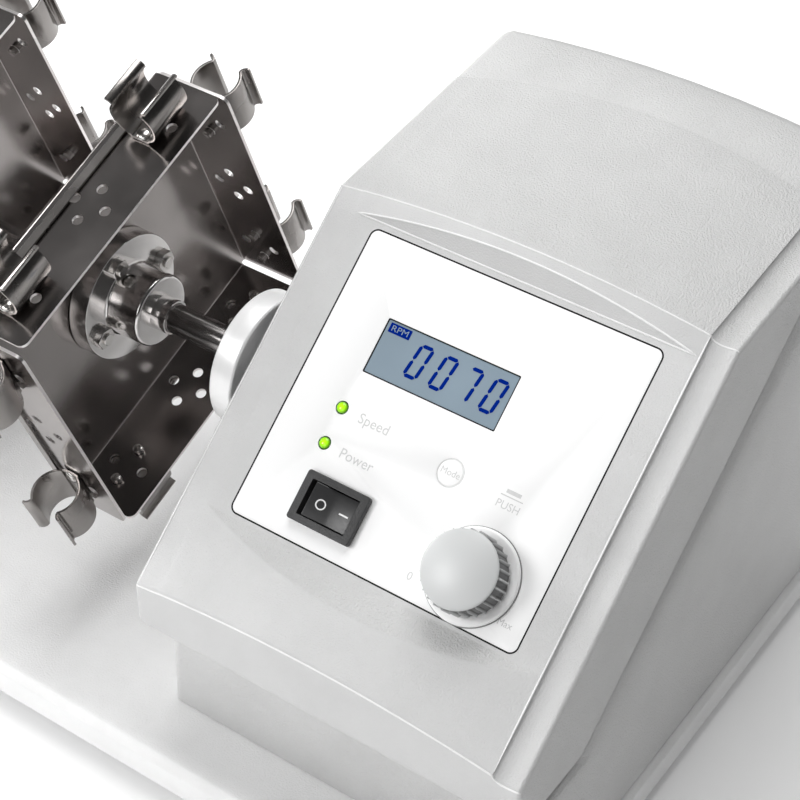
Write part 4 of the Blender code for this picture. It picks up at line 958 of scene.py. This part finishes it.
def knob():
    """Speed knob: fluted skirt under a smooth satin cap, over its white ring."""
    place = on_panel(KNOB_CENTRE)
    ring = rounded_profile([(13.8 * MM, GAP), mm(13.8, 0.9), mm(13.2, 1.4), mm(10.4, 1.4),
                            mm(9.6, 1.0), (9.6 * MM, GAP)], 0.25 * MM)
    turned_piece("knob_base_ring", ring, 128, place, "white", "housing",
                 ("knob_ring",))
    # Painted shade: a dark grey washer showing past the ring's edge stands in for the shadow gap
    # between the ring and the panel.
    washer = [mm(13.2, 0.02), mm(13.2, 0.25), mm(14.05, 0.25), mm(14.05, 0.02)]
    turned_piece("knob_ring_gap_shade", washer, 128, place, "gap_shade", "housing")
    ribs, per = 28, 14
    levels = [(3.3, 2.0, 0), (10.8, 2.0, 0), (11.5, 2.15, 0.5), (11.75, 2.5, 0.9), (11.8, 3, 1),
              (11.75, 9.6, 1), (11.6, 10.0, 1), (11.3, 10.3, 0.7), (11.0, 10.45, 0.2),
              (11.05, 10.5, 0), (11.15, 10.75, 0), (11.05, 11.0, 0)]
    levels += [(reach, 11.1 + 1.86 * (1 - (reach / 11.0) ** 2.1), 0)
               for reach in (10.8, 10.2, 9.4, 8.4, 7, 5.5, 4, 2.5, 1)]
    sides = ribs * per
    rows = []
    for reach, height, share in levels:
        row = []
        for step in range(sides):
            phase = (step % per) / per
            ridge = max(0.0, 1 - min(phase, 1 - phase) / 0.2)
            cut = 0.95 * MM * share * (1 - ridge ** 0.8)
            row.append((*polar(reach * MM - cut, 2 * math.pi * step / sides), height * MM))
        rows.append(row)
    roof = [[(*polar(3.3 * MM, 2 * math.pi * step / sides), 9.8 * MM) for step in range(sides)]]
    add_piece("knob_cap", add_loft(bmesh.new(), roof + rows, place), "knob", "knob_body",
              ("knob",), 50)


# ---------------------------------------------------------------- rotor


def collar_and_shaft():
    """Turned drive collar with its recessed face, and the polished shaft."""
    place = Matrix.Translation((0, AXIS.y, AXIS.z)) @ ALONG_X
    left, right = 73.6 * MM, 81.4 * MM
    bore = 5.3 * MM
    profile = rounded_profile(
        [(bore, left), (20.8 * MM, left), (21.3 * MM, left + 0.5 * MM),
         (21.3 * MM, right - 0.4 * MM), (20.9 * MM, right), (20.2 * MM, right),
         (19.9 * MM, right - 1.8 * MM), (9.5 * MM, right - 0.4 * MM),
         (bore, right - 0.4 * MM)], 0.2 * MM, 3)
    turned_piece("collar_ring", profile, 144, place, "turned", "rotor",
                 ("drive_collar",), 30)
    box_low, box_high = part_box("rotor_shaft")
    journal = box_low.x + 9.8 * MM
    profile = rounded_profile(
        [(0, box_low.x), (4 * MM, box_low.x), (4 * MM, journal), (SHAFT_RADIUS, journal),
         (SHAFT_RADIUS, box_high.x), (0, box_high.x)], 0.3 * MM, 3)
    turned_piece("shaft_bar", profile, 96, place, "shaft", "rotor",
                 ("rotor_shaft",), 30)


def hubs():
    """Flanged hubs with their bolts and set screws."""
    for number, place in TRAY_PLACES:
        bore = SHAFT_RADIUS + 0.05 * MM
        profile = rounded_profile(
            [(bore, GAP), (20.7 * MM, GAP), mm(20.7, 7), mm(12.2, 7),
             mm(11.6, 7.6), (11.6 * MM, HUB_FACE - 0.7 * MM), (10.9 * MM, HUB_FACE),
             (bore, HUB_FACE)], 0.35 * MM, 4)
        hub = scene_object(f"hub_{number}_fine", add_turned(bmesh.new(), profile, 112,
                                                            place @ ALONG_X), "polished")
        hole = add_drum(bmesh.new(), 2.3 * MM, 7 * MM, 20 * MM, 32,
                        place @ Matrix.Translation((SET_SCREW_X, 0, 0)))
        carve(hub, hole)
        finish_piece(hub, "rotor", (f"hub_{number}",), 32)
        sleeve = rounded_profile(
            [(SHAFT_RADIUS + 0.02 * MM, HUB_FACE - 2 * MM), (5.5 * MM, HUB_FACE - 2 * MM),
             (5.5 * MM, HUB_FACE + 5.5 * MM), (SHAFT_RADIUS + 0.02 * MM, HUB_FACE + 5.5 * MM)],
            0.3 * MM, 3)
        turned_piece(f"hub_sleeve_{number}", sleeve, 96, place @ ALONG_X, "polished", "rotor",
                     (), 30)
        bolts = bmesh.new()
        for turn in range(0, 360, 90):
            spot = (0, *polar(HUB_BOLT_REACH, math.radians(turn)))
            add_bolt(bolts, place @ Matrix.Translation(spot) @ ALONG_X)
        obj = scene_object(f"hub_bolts_{number}", bolts, "screw")
        soften(obj, 0.15 * MM, 1, 50)
        finish_piece(obj, "rotor")
        screw = bmesh.new()
        seat = place @ Matrix.Translation((SET_SCREW_X, 0, 0))
        socket = [mm(0, 9.2), mm(1.2, 9.2), mm(1.2, 10.6), mm(2.1, 10.6), mm(2.1, 6), mm(0, 6)]
        add_turned(screw, socket, 6, seat)
        add_piece(f"hub_set_screw_{number}", screw, "screw", "rotor")


def add_bolt(shape, seat):
    """Hexagon head behind the tray, nut on the hub's flange, and the bolt's end."""
    hexagon = arc((0, 0), 3.63 * MM, 0, 300, 5)
    add_prism(shape, hexagon, -3.6 * MM, -1.02 * MM, seat)
    add_prism(shape, hexagon, 7.02 * MM, 9.6 * MM, seat)
    add_drum(shape, 1.9 * MM, 9.6 * MM, 10.4 * MM, 24, seat)


def sheet_from_loops(title, loops, thickness):
    """A flat sheet in the XY plane, from outlines filled between them."""
    curve = bpy.data.curves.new(title, "CURVE")
    curve.dimensions = "2D"
    curve.fill_mode = "BOTH"
    curve.extrude = thickness / 2
    for loop in loops:
        spline = curve.splines.new("POLY")
        spline.points.add(len(loop) - 1)
        spline.use_cyclic_u = True
        for point, (x, y) in zip(spline.points, loop):
            point.co = (x, y, 0, 1)
    shape = bmesh.new()
    shape.from_mesh(mesh_from_curve(title, curve))
    bmesh.ops.remove_doubles(shape, verts=shape.verts, dist=0.000001)
    return shape


def tray_blank():
    """The tray's cross-shaped blank with all its holes, then its four sides folded up."""
    fold_at, inner = 48.9 * MM, 0.6 * MM
    middle = inner + SHEET / 2
    bend = middle * math.pi / 2
    reach = fold_at + bend + TRAY_DEPTH - inner
    half, corner = FLANGE_HALF_RUN, 2.5 * MM
    loop = []
    for side in range(4):
        turn = Matrix.Rotation(side * math.pi / 2, 2)
        edge = [(half, -half)]
        edge += arc((reach - corner, -half + corner), corner, -90, 0, 5)
        edge += arc((reach - corner, half - corner), corner, 0, 90, 5)
        loop += [tuple(turn @ Vector(spot)) for spot in edge]
    loops = [loop, arc((0, 0), SHAFT_RADIUS + 1.2 * MM, 0, 352.5, 47)]
    for side in range(4):
        turn = Matrix.Rotation(side * math.pi / 2, 2)
        for station in (*CLIP_STATIONS, 0):
            for across, along in ((0, CLIP_HOLE_OFFSET), (0, -CLIP_HOLE_OFFSET),
                                  (SPARE_HOLE_OFFSET, 0), (-SPARE_HOLE_OFFSET, 0)):
                out = fold_at + bend + CLIP_X + across - inner
                centre = turn @ Vector((out, station + along))
                loops.append(arc(centre, 1.75 * MM, 0, 345, 23))
        loops.append(arc(turn @ Vector((HUB_BOLT_REACH, 0)), 2.2 * MM, 0, 345, 23))
    shape = sheet_from_loops("tray_sheet", loops, SHEET)
    for face in shape.faces:
        face.material_index = 1 if abs(face.normal.z) < 0.5 else 0
    for axis in ((1, 0, 0), (-1, 0, 0), (0, 1, 0), (0, -1, 0)):
        for step in range(9):
            spot = Vector(axis) * (fold_at + bend * step / 8)
            geometry = shape.verts[:] + shape.edges[:] + shape.faces[:]
            bmesh.ops.bisect_plane(shape, geom=geometry, plane_co=spot, plane_no=axis,
                                   dist=0.0000001)
    for vert in shape.verts:
        x, y, lift = vert.co
        far = max(abs(x), abs(y)) - fold_at
        depth = lift - SHEET / 2
        if far > 0:
            ahead, out = polar(middle - lift, min(far / bend, 1) * math.pi / 2)
            depth = inner - ahead + max(far - bend, 0)
            if abs(x) > abs(y):
                x = math.copysign(fold_at + out, x)
            else:
                y = math.copysign(fold_at + out, y)
        vert.co = (depth, x, y)
    return shape


def trays():
    """Three folded steel trays."""
    first = scene_object("tray_first", tray_blank(), "sheet", "sheet_edge")
    soften(first, 0.14 * MM, 1, 50)
    for number, place in TRAY_PLACES:
        obj = copy_of(f"tray_{number}_folded", first, place)
        finish_piece(obj, "rotor", (f"tray_{number}",), 30)
    bpy.data.objects.remove(first)


def clip_line():
    """Centre line of a clip's section: base, prongs round the tube, flared lips."""
    centre = (0, CLIP_RADIUS + CLIP_SHEET)
    radius = CLIP_RADIUS + CLIP_SHEET / 2
    half = [(0, CLIP_SHEET / 2), (3 * MM, CLIP_SHEET / 2)]
    half += arc(centre, radius, -66, 46, 20)
    last = half[-1]
    for across, up in ((0.15, 0.75), (0.6, 1.35), (1.3, 1.8), (2.2, 2.0)):
        half.append((last[0] + across * MM, last[1] + up * MM))
    return [(-x, z) for x, z in reversed(half[1:])] + half


def twin_clip():
    """Two clips on one stamped strip, lying on its own XY plane, with their screws."""
    line = clip_line()
    inner, outer = [], []
    for index, (x, z) in enumerate(line):
        heading = heading_at(line, index)
        across = Vector((-heading.y, heading.x)) * CLIP_SHEET / 2
        inner.append((x + across.x, z + across.y))
        outer.append((x - across.x, z - across.y))
    shape = bmesh.new()
    for station in CLIP_STATIONS:
        rows = [[shape.verts.new((x, station + side, z)) for x, z in edge]
                for edge, side in ((inner, -CLIP_HALF_LENGTH), (inner, CLIP_HALF_LENGTH),
                                   (outer, CLIP_HALF_LENGTH), (outer, -CLIP_HALF_LENGTH))]
        bridge(shape, rows + rows[:1], False)
        for end in (0, -1):
            shape.faces.new([row[end] for row in rows])
    clip = scene_object("clip_first", shape, "clip")
    soften(clip, 0.16 * MM, 2, 40)
    rail = bmesh.new()
    run = CLIP_STATIONS[1] - CLIP_STATIONS[0] + 6 * MM
    loop = rounded_rectangle((3 * MM, run), 1.2 * MM, (-7.4 * MM, 0))
    add_prism(rail, loop, 0.05 * MM, 0.75 * MM)
    for station in CLIP_STATIONS:
        add_box(rail, mm(6, 6, 0.62), (-4.1 * MM, station, 0.4 * MM))
    strip = scene_object("strip_first", rail, "clip")
    soften(strip, 0.12 * MM, 1, 50)
    screws = bmesh.new()
    for station in CLIP_STATIONS:
        for along in (-CLIP_HOLE_OFFSET, CLIP_HOLE_OFFSET):
            place = Matrix.Translation((0, station + along, 0))
            head = [mm(0, 1.75), mm(1.3, 1.6), mm(2, 1.25), mm(2.2, 0.82), mm(0, 0.82)]
            add_turned(screws, head, 24, place)
            nut = [mm(0, -1.32), mm(1.6, -1.32), mm(1.6, -3.2), mm(1.1, -3.5), mm(0, -3.5)]
            add_turned(screws, nut, 24, place)
    pins = scene_object("pins_first", screws, "screw")
    return clip, strip, pins


def clips():
    """Twin clips on each of a tray's four sides."""
    clip, strip, pins = twin_clip()
    seat = Matrix.Translation((CLIP_X, 0, TRAY_HALF + GAP))
    for number, tray in TRAY_PLACES:
        for side, name in enumerate(SIDES):
            place = tray @ Matrix.Rotation(side * math.pi / 2, 4, "X") @ seat
            for kind, part, nodes in (("pair", clip, (f"clips_{number}_{name}",)),
                                      ("strip", strip, ()), ("screws", pins, ())):
                piece = copy_of(f"clip_{kind}_{number}_{name}", part, place)
                finish_piece(piece, "rotor", nodes, 40)
    for obj in (clip, strip, pins):
        bpy.data.objects.remove(obj)


# ---------------------------------------------------------------- fixings and the rest


def add_pan_head(shape, place, radius, height):
    """Pan head with a cross slot's dark dimple, rising along the local Z axis."""
    profile = [(0, height * 0.55), (radius * 0.3, height * 0.55), (radius * 0.38, height),
               (radius * 0.75, height * 0.86), (radius, height * 0.35), (radius, 0), (0, 0)]
    add_turned(shape, profile, 24, place)


def fixings():
    """Screws of the rear cover, the post's cover and the feet."""
    rear_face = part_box("rear_cover")[1].y
    screws = bmesh.new()
    for x, z in ((92, 30), (92, 158), (204, 158)):
        place = Matrix.Translation((x * MM, rear_face + 0.05 * MM, z * MM)) @ ALONG_Y
        add_pan_head(screws, place, 3.1 * MM, 1.7 * MM)
    post_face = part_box("post_cover")[0].x
    for y, z in ((AXIS.y - 22 * MM, 30 * MM), (AXIS.y + 22 * MM, 30 * MM), (AXIS.y, 127.5 * MM)):
        place = Matrix.Translation((post_face + 0.02 * MM, y, z)) @ ALONG_X.inverted()
        add_pan_head(screws, place, 2.5 * MM, 0.6 * MM)
    add_piece("cover_screws", screws, "screw", "housing")
    feet = bmesh.new()
    for number in range(1, 5):
        foot_low, foot_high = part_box(f"foot_{number}")
        middle = (foot_low + foot_high) / 2
        place = Matrix.Translation((middle.x, middle.y, 2.55 * MM)) @ Matrix.Rotation(
            math.pi, 4, "X")
        add_pan_head(feet, place, 3.9 * MM, 1.8 * MM)
    add_piece("foot_screws", feet, "screw", "housing")


def rest_of_frame():
    """The other nodes keep their own shapes, some with rounder edges, in better finishes."""
    for number in range(1, 5):
        refined(f"foot_{number}", "rubber", "housing", 0.3 * MM, 2)
    refined("mains_inlet", "black", "housing", 0.25 * MM, 2)
    refined("fuse_drawer", "black", "fuse_drawer", 0.25 * MM, 2)
    finishes = {
        "zinc": ("chassis_plate", "gearbox", "power_supply", "bottom_plate"),
        "board": ("main_board",),
        "gloss_black": ("lcd_module", "mode_switch", "encoder"),
        "turned": ("bearing_housing", "spindle_pulley", "motor_pulley", "encoder_shaft"),
        "polished": ("spindle", "spindle_bearing_1", "spindle_bearing_2", "post_bearing",
                     "motor_shaft", "encoder_plunger", "drive_motor"),
        "rubber": ("drive_belt",),
    }
    for look, nodes in finishes.items():
        for node in nodes:
            mesh = frame["nodes"][node].data
            mesh.materials.clear()
            mesh.materials.append(LOOKS[look])


# ---------------------------------------------------------------- stage

# Each soft light's place, size and watts
LIGHTS = {
    "key": ((-0.64, -1.1, 1.04), (0.5, 0.5), 8.6),
    "top": ((-0.05, 0.45, 1.5), (1.0, 1.0), 16),
    "front": ((0.25, -1.5, 0.8), (1.2, 0.8), 5.4),
    "left": ((-1.5, -0.1, 0.5), (0.9, 0.9), 26),
}
LIGHTS_AIM = (0.1, -0.03, 0.1)
# The world's strength towards -X and towards +X
WORLD_LEFT, WORLD_RIGHT = 0.155, 0.035
CAMERA_PLACE = (0.3865, -0.3942, 0.5240)
CAMERA_TURN = (math.radians(48.4), 0, math.radians(35))
CAMERA_LENS = 95.9


def area_light(title, place, aim, size, power):
    """Soft rectangular light aimed at a point."""
    light = bpy.data.lights.new(title, "AREA")
    light.shape = "RECTANGLE"
    light.size, light.size_y = size
    light.energy = power
    lamp = linked(title, light)
    lamp.location = place
    lamp.rotation_euler = (Vector(aim) - Vector(place)).to_track_quat("-Z", "Y").to_euler()


def stage():
    """White floor, soft lights, a dim world in reflections, and the camera."""
    shape = bmesh.new()
    add_box(shape, (8, 8, 0.02), (0, 0, -0.0101))
    floor_look = Look("floor", 0.95, 0.7, Emission_Color=(1, 1, 1, 1),
                      Emission_Strength=0.12)
    floor = scene_object("floor", shape, floor_look.material)
    for title, (place, size, watts) in LIGHTS.items():
        area_light(title, place, LIGHTS_AIM, size, watts)
    world = bpy.data.worlds.new("studio")
    world.use_nodes = True
    tree = world.node_tree
    background = tree.nodes["Background"]
    background.inputs["Color"].default_value = (1, 1, 1, 1)
    heading = tree.nodes.new("ShaderNodeTexCoord")
    parts = tree.nodes.new("ShaderNodeSeparateXYZ")
    tree.links.new(heading.outputs["Generated"], parts.inputs["Vector"])
    share = tree.nodes.new("ShaderNodeMapRange")
    share.inputs["From Min"].default_value = -1
    share.inputs["To Min"].default_value = WORLD_LEFT
    share.inputs["To Max"].default_value = WORLD_RIGHT
    tree.links.new(parts.outputs["X"], share.inputs["Value"])
    tree.links.new(share.outputs["Result"], background.inputs["Strength"])
    bpy.context.scene.world = world
    bpy.context.scene.view_settings.view_transform = "Standard"
    camera = bpy.data.cameras.new("camera")
    camera.lens = CAMERA_LENS
    camera.sensor_width = 36
    eye = linked("camera", camera)
    eye.location = CAMERA_PLACE
    eye.rotation_euler = CAMERA_TURN
    bpy.context.scene.camera = eye


front_shell()
rear_body()
panel_plate()
display()
panel_print()
lamps()
mode_button()
rocker()
knob()
collar_and_shaft()
hubs()
trays()
clips()
fixings()
rest_of_frame()
stage()
